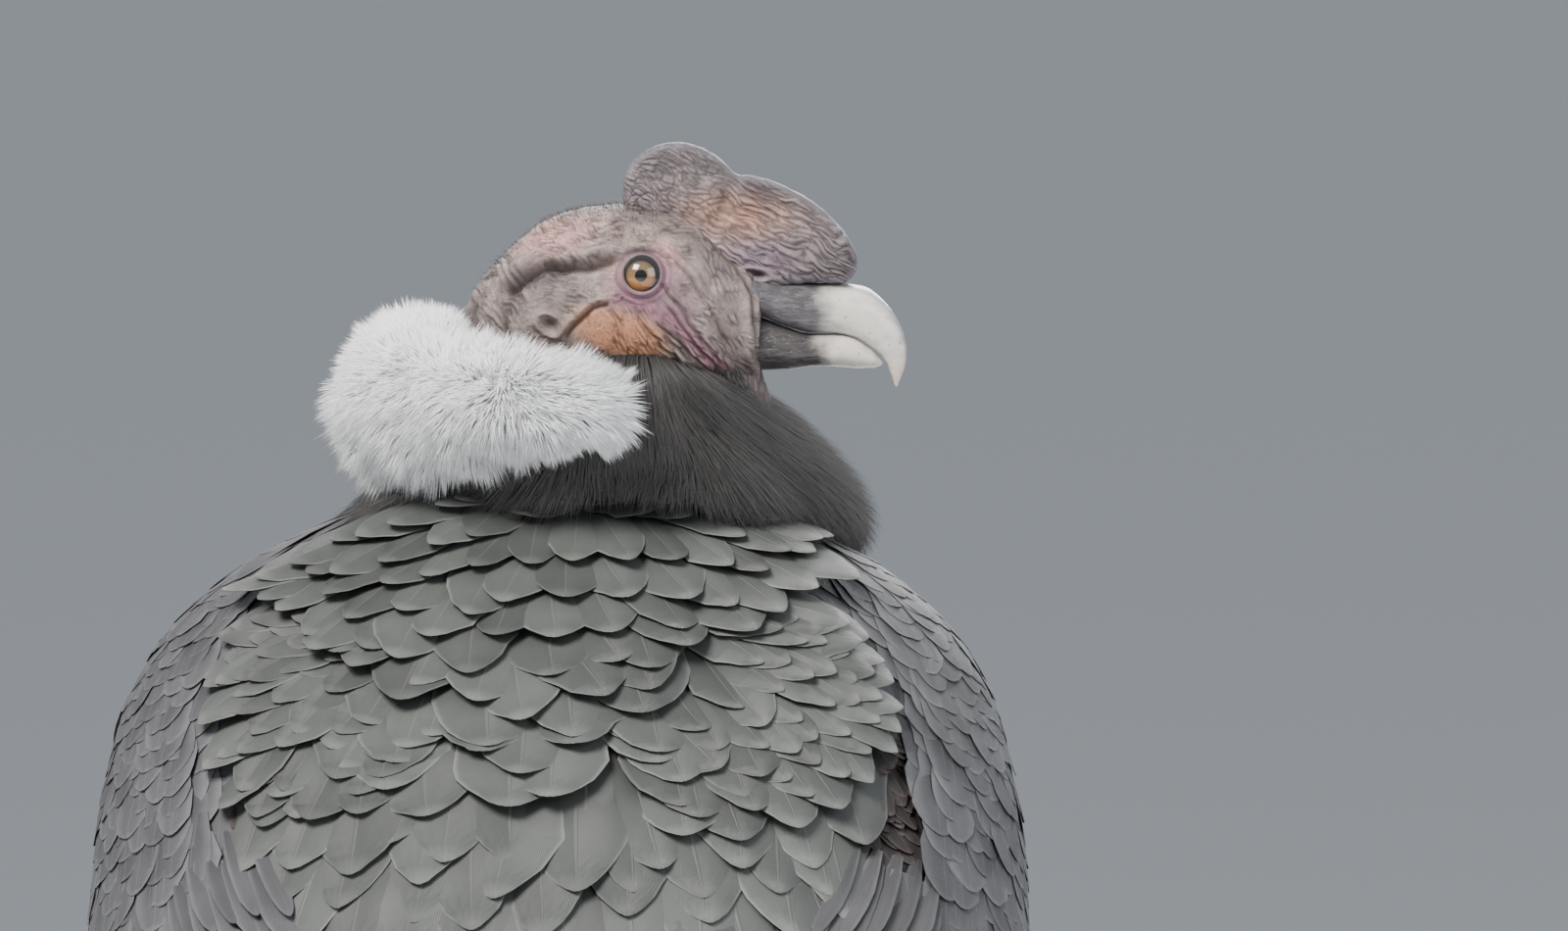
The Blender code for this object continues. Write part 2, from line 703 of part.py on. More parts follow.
def ruff_ring(degrees, share, sides):
    """One section of the ruff's core, which reaches in to the neck."""
    middle, out = ruff_frame(degrees)
    _, high, wide = Track(RUFF)(degrees)
    up = np.array((0.0, 0.0, 1.0))
    ring = []
    for j in range(sides):
        angle = 2 * math.pi * j / sides
        reach = wide * share if math.cos(angle) > 0 else max(wide, 0.037)
        ring.append(middle + out * reach * math.cos(angle) + up * high * share * math.sin(angle))
    return ring


def ruff_shape(share, sides=10):
    """The ruff's core as a smooth open ring, its thickness a share of the whole."""
    turns = np.linspace(8 - RUFF_END, RUFF_END - 8, 10)
    return loft([ruff_ring(t, share, sides) for t in turns])


def closed_curve(corners, count):
    """A smooth closed curve through the corners, as this many points."""
    corners = np.array(corners, float)
    total = len(corners)
    points = []
    for k in range(count):
        place = k * total / count
        i = int(place)
        t = place - i
        a, b, c, d = (corners[(i + n) % total] for n in (-1, 0, 1, 2))
        bend = (2 * a - 5 * b + 4 * c - d) * t * t + (3 * b - a - 3 * c + d) * t ** 3
        points.append(0.5 * (2 * b + (c - a) * t + bend))
    return points


def comb_shape():
    """The comb, swollen from its outline to its spine, thicker towards bill and brow, with folds across."""
    outline = closed_curve(COMB_OUTLINE, 26)
    spine = np.array(COMB_SPINE, float)
    track = Track([(i, *p) for i, p in enumerate(spine)])
    fine = np.array([track(t) for t in np.linspace(0, len(spine) - 1, 60)])
    shares = (0.0, 0.10, 0.30, 0.58, 0.88)
    swell = (0.0, 0.52, 0.80, 0.96, 1.0)
    rings = []
    levels = [(share, grown, 1) for share, grown in zip(shares, swell)]
    order = [(s, g, -1) for s, g in zip(shares[:0:-1], swell[:0:-1])] + levels
    for share, grown, side in order:
        ring = []
        for place in outline:
            target = fine[np.argmin(np.hypot(*(fine - place).T))]
            x, z = place + (target - place) * share
            base = min(max((22 - z) / 24, 0.0), 1.0)
            thick = COMB_THIN + (COMB_THICK - COMB_THIN) * base
            lobe = math.exp(-(((x - 33) - (z - 26) * 0.42) / 4.0) ** 2) * min(max((z - 10) / 10, 0.0), 1.0)
            fold = math.sin(0.42 * x - 0.16 * z + 1.0) * math.sin(0.22 * z + 0.09 * x)
            thick *= 1 - 0.26 * lobe + 0.10 * fold * (1 - lobe)
            ring.append(head_point(x, side * grown * thick, z))
        rings.append(ring)
    return loft(rings)


def bill_shape(ribs, tip, flat_up, grow=0.0):
    """One half of the bill: ribs from ridge to edge, flat on the side of the mouth."""
    fine = Track([(i, *row) for i, row in enumerate(ribs)])
    sides = 12
    rings = []
    for t in range(len(ribs)):
        top_x, top_z, low_x, low_z, half = fine(t)
        ring = []
        for j in range(sides):
            angle = 2 * math.pi * (j + 0.5) / sides
            down = (1 - math.cos(angle)) / 2
            out = math.sin(angle)
            near_mouth = 1 - down if flat_up else down
            bulge = math.copysign(abs(out) ** (1.0 - 0.55 * near_mouth), out)
            stretch = 0.5 + (down - 0.5) * (1.0 + grow / max(abs(top_z - low_z), 4.0))
            ring.append(head_point(
                top_x + (low_x - top_x) * stretch,
                (half + grow) * bulge,
                top_z + (low_z - top_z) * stretch,
            ))
        rings.append(ring)
    return loft(rings, None, head_point(tip[0], 0, tip[1]))


def ball(centre, radius, segments=14, rows=8):
    """Points and triangles of a sphere with its poles to the sides."""
    rings = []
    for i in range(1, rows):
        polar = math.pi * i / rows
        rings.append([
            centre + radius * np.array((
                math.sin(polar) * math.cos(2 * math.pi * j / segments),
                -math.cos(polar),
                math.sin(polar) * math.sin(2 * math.pi * j / segments),
            ))
            for j in range(segments)
        ])
    return loft(rings, centre + (0, -radius, 0), centre + (0, radius, 0))


def skull_side(x, z, out=0.0):
    """A place on the side of the skull, in the head's millimetres, y as for the left side."""
    top, bottom, half = Track(SKULL)(x)
    up = min(max((z - (top + bottom) / 2) / ((top - bottom) / 2), -0.98), 0.98)
    return np.array((x, half * (1 - 0.10 * max(up, 0.0) ** 2) * math.sqrt(1 - up * up) + out, z))


def skin_ring(place, size, tilt, radius, out, side, count=14, sides=4):
    """A fleshy ring on the skull, such as the lids or the rim of an ear. side is -1 for the right."""
    turned = math.radians(tilt)
    rings = []
    for i in range(count):
        turn = 2 * math.pi * i / count
        a, b = size[0] * math.cos(turn), size[1] * math.sin(turn)
        ahead = a * math.cos(turned) - b * math.sin(turned)
        up = a * math.sin(turned) + b * math.cos(turned)
        away = np.array((ahead, 0, up))
        middle = skull_side(place[0] + away[0], place[1] + away[2], out)
        away /= np.linalg.norm(away)
        ring = []
        for j in range(sides):
            angle = 2 * math.pi * j / sides
            x, y, z = middle + (away * math.cos(angle) + np.array((0, 1, 0)) * math.sin(angle)) * radius
            ring.append(head_point(x, side * y, z))
        rings.append(ring)
    points = [p for ring in rings for p in ring]
    faces = []
    for i in range(count):
        for j in range(sides):
            a, b = i * sides + j, i * sides + (j + 1) % sides
            c, d = ((i + 1) % count) * sides + j, ((i + 1) % count) * sides + (j + 1) % sides
            faces += [(a, b, d), (a, d, c)]
    return points, faces


def skin_fold(corners, radius, side, grow=0.0):
    """A fold of skin on the side of the skull along these corners, thinner at its ends."""
    track = Track([(i, *p) for i, p in enumerate(corners)])
    steps = np.linspace(0, len(corners) - 1, len(corners) + 1)
    path = []
    radii = []
    for t in steps:
        x, z = track(t)
        x, y, z = skull_side(x, z, -radius * 0.35)
        path.append(head_point(x, side * y, z))
        radii.append(MM * radius * (0.35 + 0.65 * math.sin(math.pi * (0.08 + 0.84 * t / steps[-1]))))
    return tube(path, radii, sides=4, grow=grow)


def skin_folds(grow=0.0):
    """Every fold of the head, on both sides."""
    return [skin_fold(corners, radius, side, grow) for radius, corners in SKIN_FOLDS for side in (-1, 1)]


def pit(x, y, z, size, tilt=0.0):
    """A small hollow in the head, as an egg shape to cut with. size is its half lengths."""
    points, faces = ball(np.zeros(3), 1.0, segments=10, rows=6)
    turned = math.radians(tilt)
    placed = []
    for p in points:
        a, c = p[0] * size[0], p[2] * size[2]
        placed.append(head_point(
            x + a * math.cos(turned) - c * math.sin(turned),
            y + p[1] * size[1],
            z + a * math.sin(turned) + c * math.cos(turned),
        ))
    return placed, faces


def gape(side):
    """A thin slab to cut one corner of the mouth with."""
    corners = ((8, -0.4), (40, -0.4), (40, 0.4), (8, 0.4))
    return loft([[head_point(x, side * y, z + up) for y, up in corners] for x, z in GAPE_LINE])


def throat_shape(grow=0.0):
    """The loose skin from the chin down into the frill."""
    rows = [head_point(x, 0, z) for x, z, _, _ in THROAT]
    rings = []
    for (x, z, long, wide), row in zip(THROAT, rows):
        rings.append([
            row + np.array((long * MM + grow, 0, 0)) * math.cos(2 * math.pi * (j + 0.5) / 14)
            + np.array((0, wide * MM + grow, 0)) * math.sin(2 * math.pi * (j + 0.5) / 14)
            for j in range(14)
        ])
    return loft(rings)


def toe_path(turn, length, radius, claw_radius):
    """The middle line of a toe on the floor, from the foot to the claw."""
    angle = math.radians(turn)
    ahead = np.array((-math.sin(angle), math.cos(angle), 0.0))
    start = np.array((*FOOT_AT, 0.0))
    rows = []
    radii = []
    for t in (0.0, 0.22, 0.48, 0.74, 1.0):
        thick = radius + (claw_radius - radius) * t
        knuckle = 1.0 + 0.10 * math.cos(8 * math.pi * t)
        place = start + ahead * length * t
        place[2] = thick * 0.80 + 0.008 * max(0.0, 1 - 4 * t)
        rows.append(place)
        radii.append(thick * knuckle)
    return np.array(rows), radii, ahead


def mirror(shape, side):
    """A shape as it is for the right side, or its mirror image."""
    points, faces = shape
    return [np.array(p) * (side, 1.0, 1.0) for p in points], faces


def build_leg(side, name):
    """Thigh, shank, foot and claws of one side."""
    track = Track([(i, *row) for i, row in enumerate(THIGH)])
    rows = np.array([track(t) for t in np.linspace(0, len(THIGH) - 1, 9)])
    shape = mirror(tube(rows[:, :3], rows[:, 3], sides=12), side)
    thigh = add_object("thigh_" + name, shape, "plumage_black")
    combine(thigh, [trunk_shape(GAP), wing_shape(side, GAP)], "DIFFERENCE")
    thigh_room = mirror(tube(rows[:, :3], rows[:, 3], sides=12, grow=GAP), side)

    track = Track([(i, *row) for i, row in enumerate(SHANK)])
    rows = np.array([track(t) for t in np.linspace(0, len(SHANK) - 1, 8)])
    shank = add_object("shank_" + name, mirror(tube(rows[:, :3], rows[:, 3], sides=10), side), "leg_scales")

    hub = tube([(*FOOT_AT, 0.0085), (*FOOT_AT, FOOT_HIGH)], [0.0175, 0.0150], sides=10, floor=0.0)
    room = tube([(*FOOT_AT, -0.01), (*FOOT_AT, FOOT_HIGH + GAP)], [0.03, 0.03], sides=10)
    around_foot = [mirror(room, side)]
    foot = add_object("foot_" + name, mirror(hub, side), "leg_scales")
    toes = []
    for toe, turn, length, radius, claw_radius in TOES:
        path, radii, ahead = toe_path(turn, length, radius, claw_radius)
        toes.append(mirror(tube(path, radii, sides=8, floor=0.0), side))
        toe_room = mirror(tube(path, radii, sides=8, grow=GAP), side)
        around_foot.append(toe_room)
        end = path[-1] - ahead * 0.002
        claw_rows = []
        claw_radii = []
        for t in (0.0, 0.5, 1.0):
            place = end + ahead * (CLAW_LONG + 0.002) * t
            place[2] = end[2] + 0.003 * math.sin(math.pi * min(t * 1.1, 1.0)) - end[2] * 0.72 * t * t
            claw_rows.append(place)
            claw_radii.append(claw_radius * 0.80 * (1 - t) + 0.0011)
        claw = mirror(tube(claw_rows, claw_radii, sides=6, floor=0.0), side)
        combine(add_object(f"claw_{toe}_{name}", claw, "claw_horn"), [toe_room], "DIFFERENCE")
    combine(foot, toes, "UNION")
    combine(shank, around_foot, "DIFFERENCE")
    combine(shank, [thigh_room], "DIFFERENCE")


def tail_core():
    """The root of the tail."""
    track = Track(TAIL)
    rings = []
    for s in (0.440, 0.470, 0.500, 0.530, 0.560):
        middle, to_back = body_frame(s)
        width, thick = track(s)
        turns = [2 * math.pi * j / 12 for j in range(12)]
        across = np.array((width, 0, 0))
        rings.append([middle + across * math.cos(t) + to_back * thick * math.sin(t) for t in turns])
    return loft(rings)


def tail_vane(place, s0, s1, at_root, at_tip, width, root_high, tip_high):
    """One feather of the tail. place counts from the middle, and at_root and at_tip are its step sideways."""
    rings = []
    for share, wide in ((0.0, 0.36), (0.40, 0.86), (0.88, 0.94), (1.0, 0.0)):
        s = s0 + (s1 - s0) * share
        middle, to_back = body_frame(s)
        x = place * (at_root + (at_tip - at_root) * share)
        high = root_high + (tip_high - root_high) * share
        middle = middle + np.array((x, 0, 0)) + to_back * high
        edge = np.array((width * wide / 2, 0, 0))
        bow = to_back * width * wide * 0.015
        thick = to_back * FLIGHT_THICK * (1 - 0.5 * share) / 2
        rings.append([middle - edge - bow, middle + thick, middle + edge - bow, middle - thick])
    return plate(rings[:-1], (rings[-1][1] + rings[-1][3]) / 2)


def tail_vanes():
    """The fan of the tail with its middle pair on top, and the coverts over its roots."""
    draw = random.Random(SEED + 2)
    shapes = []
    for i in range(TAIL_FEATHERS):
        place = i - (TAIL_FEATHERS - 1) / 2
        down = -(abs(place) - 0.5) * TAIL_STEP + (TAIL_STEP / 4 if place > 0 else -TAIL_STEP / 4)
        s1 = TAIL_TIP_S - 0.004 * abs(place) + draw.uniform(-0.003, 0.003)
        high = 0.006 + down
        shapes.append(tail_vane(place, TAIL_ROOT_S, s1, 0.0042, TAIL_SPREAD, TAIL_WIDE, high, high))
    for i in range(TAIL_COVERTS):
        place = i - (TAIL_COVERTS - 1) / 2
        s1 = 0.640 - 0.012 * abs(place) + draw.uniform(-0.004, 0.004)
        rise = 0.0016 * (i % 2)
        shapes.append(tail_vane(place, 0.470, s1, 0.016, 0.022, 0.044, 0.012 + rise, 0.0105 + rise))
    return shapes


def lock(root, bend, tip, out, width, thick, round_over, roll=0.10):
    """A flat, tapered lock from its root over a bend to its tip, bowed over a form of this radius.

    out points away from the coat.
    """
    root, bend, tip = (np.array(p, float) for p in (root, bend, tip))
    rings = []
    for share, wide in ((0.0, 0.50), (0.45, 1.0), (0.80, 0.66)):
        middle = root * (1 - share) ** 2 + bend * 2 * share * (1 - share) + tip * share ** 2
        ahead = (bend - root) * (1 - share) + (tip - bend) * share
        across = np.cross(ahead, out)
        across /= np.linalg.norm(across)
        up = np.cross(across, ahead)
        up /= np.linalg.norm(up)
        up *= math.copysign(1, np.dot(up, out))
        half = width * wide / 2
        edge = (across + up * roll) * half
        bow = up * half * half / (2 * round_over)
        high = up * thick * (1 - 0.6 * share) / 2
        rings.append([middle - edge - bow, middle + high, middle + edge - bow, middle - high])
    return plate(rings, tip)


def ruff_locks():
    """The ruff's locks, in rows round its section, each hanging over the next."""
    draw = random.Random(SEED + 3)
    track = Track(RUFF)
    up = np.array((0.0, 0.0, 1.0))
    shapes = []
    for row, (section, count) in enumerate(RUFF_ROWS):
        for i in range(count):
            turn = ((i + 0.25 + 0.5 * (row % 2)) / count * 2 - 1) * (RUFF_END - 2) + draw.uniform(-2, 2)
            middle, out = ruff_frame(turn)
            _, high, wide = track(turn)
            low = section + draw.uniform(-6, 6)

            def at(degrees, share):
                angle = math.radians(degrees)
                return middle + (out * wide * math.cos(angle) + up * high * math.sin(angle)) * share

            tip = at(low, draw.uniform(0.98, 1.06))
            root, bend = at(low + 50, RUFF_CORE - 0.12), at(low + 28, 1.06)
            width = RUFF_LOCK * (0.60 + 0.40 * high / 0.041) * draw.uniform(0.92, 1.08)
            shapes.append(lock(root, bend, tip, at(low + 20, 1.0) - middle, width, 0.0036, 0.085))
    for end in (-1, 1):
        middle, _ = ruff_frame(end * (RUFF_END - 14))
        ahead = ruff_frame(end * (RUFF_END + 12))[0] - middle
        for i in (-1, 0, 1):
            root = middle + up * 0.004 * i
            tip = middle + ahead * draw.uniform(0.92, 1.08) + up * (0.011 * i - 0.003)
            bend = (root + tip) / 2 + up * (0.003 + 0.004 * i)
            shapes.append(lock(root, bend, tip, up, 0.020, 0.0045, 0.050))
    return shapes


def frill_locks():
    """The dark neck feathers as flat locks that hang over one another."""
    draw = random.Random(SEED + 4)
    track = Track(FRILL)
    shapes = []
    for row, (z_tip, count) in enumerate(FRILL_ROWS):
        for i in range(count):
            turn = 2 * math.pi * (i + 0.5 * (row % 2) + draw.uniform(-0.1, 0.1)) / count
            out = np.array((math.cos(turn), math.sin(turn), 0.0))

            def at(z, inside):
                x, y, width, depth = track(z)
                return np.array((x + (width - inside) * out[0], y + (depth - inside) * out[1], z))

            low = z_tip + draw.uniform(-0.004, 0.004) - FRILL_FRONT * max(out[1], 0.0)
            root = at(low + 0.044, FRILL_CORE + 0.004)
            bend = at(low + 0.024, -0.001)
            tip = at(low, 0.0)
            width = FRILL_LOCK * (track(low)[2] / 0.10) * draw.uniform(0.92, 1.08)
            shapes.append(lock(root, bend, tip, out + np.array((0, 0, 0.3)), width, 0.0034, 0.080))
    return shapes


def mantle_room():
    """The feathered outline at the top of the cape, to cut the frill and ruff clear of it."""
    rings = []
    for s in (-0.036, -0.020, 0.000, 0.030, 0.060):
        edge = 72
        angles = [edge * (2 * j / 12 - 1) for j in range(13)]
        ring = [dressed(s, a, 0.0035) for a in angles]
        ring += [dressed(s, -a, -0.030) for a in angles]
        rings.append(ring)
    return [loft(rings)]


def build_head():
    """The head with its lids, ears, bill, comb and eyes."""
    head = add_object("head", skull_shape(), "head_skin")
    rims = [skin_ring((0, 0), (LID_RADIUS, LID_RADIUS * 0.94), 0, LID_THICK, -0.2, side) for side in (-1, 1)]
    combine(head, rims + skin_folds() + [throat_shape()], "UNION", "MANIFOLD")
    eyes = {"right": head_point(0, -EYE_OUT, 0), "left": head_point(0, EYE_OUT, 0)}
    cuts = [ball(place, (EYE_RADIUS + GAP / MM) * MM) for place in eyes.values()]
    cuts.append(neck_shape(GAP))
    for side in (-1, 1):
        x, y, z = skull_side(*EAR_AT)
        cuts.append(pit(x, side * y, z, (3.6, 3.0, 2.0), EAR_TILT))
        cuts.append(gape(side))
    combine(head, cuts, "DIFFERENCE")
    for name, side in (("right", -1), ("left", 1)):
        add_object("eye_" + name, ball(eyes[name], EYE_RADIUS * MM), "eye_amber")
        shape = skin_ring(EAR_AT, EAR_SIZE, EAR_TILT, 1.6, 0.8, side, 12, 4)
        ear = add_object("ear_" + name, shape, "head_skin")
        combine(ear, [skull_shape(GAP / MM), *skin_folds(GAP)], "DIFFERENCE")

    rooms = [skull_shape(GAP / MM), *skin_folds(GAP)]
    upper = add_object("bill_upper", bill_shape(BILL_UPPER, BILL_UPPER_TIP, False), "bill_ivory")
    combine(upper, rooms, "DIFFERENCE")
    lower = add_object("bill_lower", bill_shape(BILL_LOWER, BILL_LOWER_TIP, True), "bill_grey")
    combine(lower, rooms + [throat_shape(GAP)], "DIFFERENCE")
    comb = add_object("comb", comb_shape(), "comb_skin")
    x, y, z = NOSTRIL_AT
    nostrils = [pit(x, side * y, z, (4.2, 3.2, 1.7), -8) for side in (-1, 1)]
    combine(comb, rooms + nostrils + [bill_shape(BILL_UPPER, BILL_UPPER_TIP, False, GAP / MM)], "DIFFERENCE")


def build():
    """Makes every node."""
    clear_scene()
    add_object("torso", trunk_shape(), "plumage_black")

    neck = add_object("neck", neck_shape(), "head_skin")
    combine(neck, [trunk_shape(GAP)], "DIFFERENCE")

    for side, name in ((1, "right"), (-1, "left")):
        wing = add_object("wing_" + name, wing_shape(side), "wing_slate")
        combine(wing, wing_vanes(side), "UNION", "MANIFOLD")
        combine(wing, [trunk_shape(GAP), neck_shape(GAP)], "DIFFERENCE", "MANIFOLD")
        build_leg(side, name)

    mantle = add_object("mantle", mantle_shape(), "feather_slate")
    combine(mantle, mantle_vanes(), "UNION", "MANIFOLD")
    wings = [wing_shape(side, GAP) for side in (1, -1)]
    combine(mantle, [trunk_shape(GAP), neck_shape(GAP), *wings], "DIFFERENCE", "MANIFOLD")

    frill = add_object("neck_frill", frill_shape(0.0, FRILL_CORE), "neck_black")
    combine(frill, frill_locks(), "UNION", "MANIFOLD")
    under = [trunk_shape(GAP), neck_shape(GAP), skull_shape(GAP / MM), throat_shape(GAP)]
    under += [*wings, *mantle_room()]
    combine(frill, under, "DIFFERENCE", "MANIFOLD")

    ruff = add_object("ruff", ruff_shape(RUFF_CORE), "ruff_white")
    combine(ruff, ruff_locks(), "UNION")
    under = [neck_shape(GAP), skull_shape(GAP / MM), *skin_folds(GAP), *mantle_room()]
    combine(ruff, under + [frill_shape(0.0085, sides=28)], "DIFFERENCE")

    build_head()

    tail = add_object("tail", tail_core(), "plumage_black")
    combine(tail, tail_vanes(), "UNION", "MANIFOLD")
    combine(tail, [trunk_shape(GAP)], "DIFFERENCE", "MANIFOLD")

    for obj in bpy.context.scene.objects:
        obj.data.shade_smooth()


build()
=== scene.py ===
"""Looks of a life-size andean condor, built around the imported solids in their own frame.

Metres, +Z up. The bird faces +Y, its right is +X, and its head looks to +X.
"""
from __future__ import annotations

import logging
import math
from dataclasses import dataclass
from enum import Enum
from itertools import product
from typing import Callable, Sequence

import bpy
import numpy as np
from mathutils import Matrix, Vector


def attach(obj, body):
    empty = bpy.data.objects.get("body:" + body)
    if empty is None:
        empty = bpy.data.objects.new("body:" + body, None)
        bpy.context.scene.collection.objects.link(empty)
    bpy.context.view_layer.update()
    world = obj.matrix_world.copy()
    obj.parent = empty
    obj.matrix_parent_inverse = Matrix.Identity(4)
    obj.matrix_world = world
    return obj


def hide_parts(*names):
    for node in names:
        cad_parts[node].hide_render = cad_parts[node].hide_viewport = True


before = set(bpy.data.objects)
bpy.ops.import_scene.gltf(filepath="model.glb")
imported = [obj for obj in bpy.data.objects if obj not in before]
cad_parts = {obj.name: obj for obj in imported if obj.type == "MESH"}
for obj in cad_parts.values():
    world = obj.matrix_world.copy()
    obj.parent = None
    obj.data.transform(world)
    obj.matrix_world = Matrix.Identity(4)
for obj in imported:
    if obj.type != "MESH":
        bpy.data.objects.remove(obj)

Array = np.ndarray
Colour = tuple[float, float, float]
Socket = bpy.types.NodeSocket
log = logging.getLogger("condor")

MM = 0.001
FULL_TURN = 2 * math.pi
# The middle of the eyes, from which head, comb and bill are measured.
EYE = np.array((0.032, 0.165, 0.929))
# How wide the patch of one vane or tuft is on the bake map.
PATCH = 0.003 * 0.98

# The body's axis: s in metres down from the foot of the neck, then y and z.
AXIS = (
    (-0.050, 0.207, 0.845), (0.000, 0.185, 0.800), (0.120, 0.130, 0.695), (0.240, 0.065, 0.590),
    (0.360, 0.000, 0.487), (0.480, -0.068, 0.388), (0.660, -0.162, 0.235), (0.840, -0.245, 0.076),
    (0.900, -0.271, 0.022),
)
# Bodies round that axis, without and with wings: s, half width, depth to the back, depth to the breast.
TRUNK = (
    (-0.034, 0.040, 0.030, 0.032), (-0.020, 0.066, 0.042, 0.056), (0.000, 0.088, 0.052, 0.078),
    (0.060, 0.116, 0.076, 0.112), (0.120, 0.130, 0.090, 0.133), (0.200, 0.137, 0.097, 0.142),
    (0.280, 0.133, 0.094, 0.132), (0.360, 0.112, 0.081, 0.108), (0.420, 0.086, 0.063, 0.080),
    (0.470, 0.058, 0.040, 0.050), (0.500, 0.034, 0.022, 0.026),
)
DRESSED = (
    (-0.036, 0.064, 0.048, 0.050), (-0.020, 0.104, 0.064, 0.070), (0.000, 0.137, 0.076, 0.090),
    (0.030, 0.163, 0.089, 0.108), (0.060, 0.175, 0.100, 0.124), (0.120, 0.184, 0.115, 0.150),
    (0.200, 0.186, 0.123, 0.158), (0.280, 0.180, 0.121, 0.148), (0.360, 0.163, 0.110, 0.124),
    (0.480, 0.122, 0.080, 0.078), (0.660, 0.080, 0.048, 0.040), (0.760, 0.062, 0.034, 0.026),
    (0.860, 0.048, 0.024, 0.018),
)
# Edges of cape and wing: s, degrees from the spine.
MANTLE_EDGE = (
    (-0.030, 62), (0.000, 54), (0.040, 49), (0.100, 50), (0.160, 46), (0.240, 35), (0.310, 23),
    (0.360, 16), (0.420, 12),
)
WING_BACK = ((-0.030, 46), (0.060, 34), (0.200, 20), (0.360, 6), (0.480, 6), (0.660, 8), (0.860, 14))
WING_FRONT = (
    (-0.030, 84), (0.030, 100), (0.100, 114), (0.200, 118), (0.300, 113), (0.400, 105), (0.500, 97),
    (0.660, 84), (0.800, 66), (0.860, 36),
)
# The wing's arm: s, and how thick it is or how far it lies under the dressed body.
WING_DEEP = ((-0.030, 0.021), (0.100, 0.060), (0.340, 0.056), (0.430, 0.032), (0.530, 0.014))
WING_SINK = ((-0.030, 0.002), (0.140, 0.003), (0.240, 0.006), (0.340, 0.009), (0.450, 0.012), (0.530, 0.014))
# The skull in millimetres from the eyes: x, height of crown and chin, half width.
SKULL = (
    (-70, -16, -44, 15), (-66, -7, -50, 22), (-58, 3, -53, 27), (-48, 13, -52, 29.5), (-36, 21.5, -49, 31),
    (-20, 26, -45, 32), (-5, 27, -42, 31.5), (10, 24, -41, 29.5), (24, 17, -42, 26), (36, 8, -43, 21.5),
    (45, 1, -42, 17), (50, -5, -38, 12),
)
# The throat in millimetres: depth under the eyes, then middle, half length and half width.
THROAT = ((26, 30, 13, 12), (34, 33, 12.5, 11), (44, 37.5, 11.5, 9.5), (56, 42.5, 9.5, 8), (72, 41, 13, 12))
# The bare neck: x, y, z and radius.
NECK = (
    (0.000, 0.190, 0.785, 0.058), (-0.004, 0.184, 0.825, 0.047), (-0.012, 0.172, 0.865, 0.037),
    (-0.012, 0.165, 0.890, 0.034), (0.000, 0.165, 0.912, 0.028),
)
# The frill: z, then x and y of its middle, half width and half depth.
FRILL = (
    (0.768, 0.000, 0.190, 0.074, 0.056), (0.782, 0.000, 0.190, 0.080, 0.060),
    (0.800, 0.006, 0.194, 0.092, 0.066), (0.820, 0.017, 0.196, 0.101, 0.076),
    (0.838, 0.021, 0.190, 0.095, 0.084), (0.856, 0.023, 0.188, 0.081, 0.076),
    (0.872, 0.022, 0.180, 0.064, 0.062), (0.886, 0.024, 0.172, 0.046, 0.044),
    (0.896, 0.026, 0.168, 0.028, 0.028),
)
# One half of the ruff: degrees from the back of the neck, drop, half height and half width.
RUFF_END = 104
RUFF_HALF = (
    (0, 0.001, 0.041, 0.038), (25, 0.001, 0.038, 0.035), (60, 0.001, 0.026, 0.026), (88, 0.005, 0.020, 0.020),
    (RUFF_END, 0.005, 0.011, 0.012),
)
RUFF = (*((-turn, *row) for turn, *row in RUFF_HALF[:0:-1]), *RUFF_HALF)


class Side(Enum):
    """The bird's own right and left, as signs of x."""

    RIGHT = 1
    LEFT = -1

    @property
    def word(self) -> str:
        """The side's name as the solids' names have it."""
        return self.name.lower()


class Track:
    """Smooth values between stations: a monotone cubic through each column of a table."""

    def __init__(self, stations: Sequence[Sequence[float]]) -> None:
        """Keeps the stations and the slope at each.

        Args:
            stations: Rows of a place and the values there, the places rising.
        """
        data = np.array(stations, float)
        self.x = data[:, 0]
        self.v = data[:, 1:]
        step = np.diff(self.x)[:, None]
        rise = np.diff(self.v, axis=0) / step
        before, after = rise[:-1], rise[1:]
        same = before * after > 0
        near = 2 * step[1:] + step[:-1]
        far = step[1:] + 2 * step[:-1]
        harmonic = (near + far) / (near / np.where(same, before, 1.0) + far / np.where(same, after, 1.0))
        self.slope = np.concatenate((rise[:1], np.where(same, harmonic, 0.0), rise[-1:]))

    def __call__(self, x: Array | float) -> Array:
        """Values at each x.

        Args:
            x: Places, of any shape.

        Returns:
            The same shape with one more axis for the table's columns.
        """
        x = np.clip(np.asarray(x, float), self.x[0], self.x[-1])
        i = np.clip(np.searchsorted(self.x, x, side="right") - 1, 0, len(self.x) - 2)
        h = (self.x[i + 1] - self.x[i])[..., None]
        t = (x - self.x[i])[..., None] / h
        return (
            self.v[i] * (1 + 2 * t) * (1 - t) ** 2
            + self.slope[i] * h * t * (1 - t) ** 2
            + self.v[i + 1] * t * t * (3 - 2 * t)
            + self.slope[i + 1] * h * t * t * (t - 1)
        )

    def first(self, x: Array | float) -> Array:
        """Values of the table's first column at each x."""
        return self(x)[..., 0]


def unit(v: Array) -> Array:
    """Vectors made one long along the last axis."""
    return v / np.maximum(np.linalg.norm(v, axis=-1, keepdims=True), 1e-12)


def xyz(x: Array, y: Array, z: Array) -> Array:
    """Places from their three coordinates."""
    return np.stack(np.broadcast_arrays(x, y, z), -1)


def columns(table: Array) -> Array:
    """The last axis taken apart."""
    return np.moveaxis(table, -1, 0)


def turns(count: int) -> Array:
    """Degrees of places spread evenly round a ring."""
    return np.arange(count) * 360.0 / count


def blend(low: Array | float, high: Array | float, share: Array | float) -> Array:
    """What lies at that share of the way from low to high."""
    return low + (high - low) * share


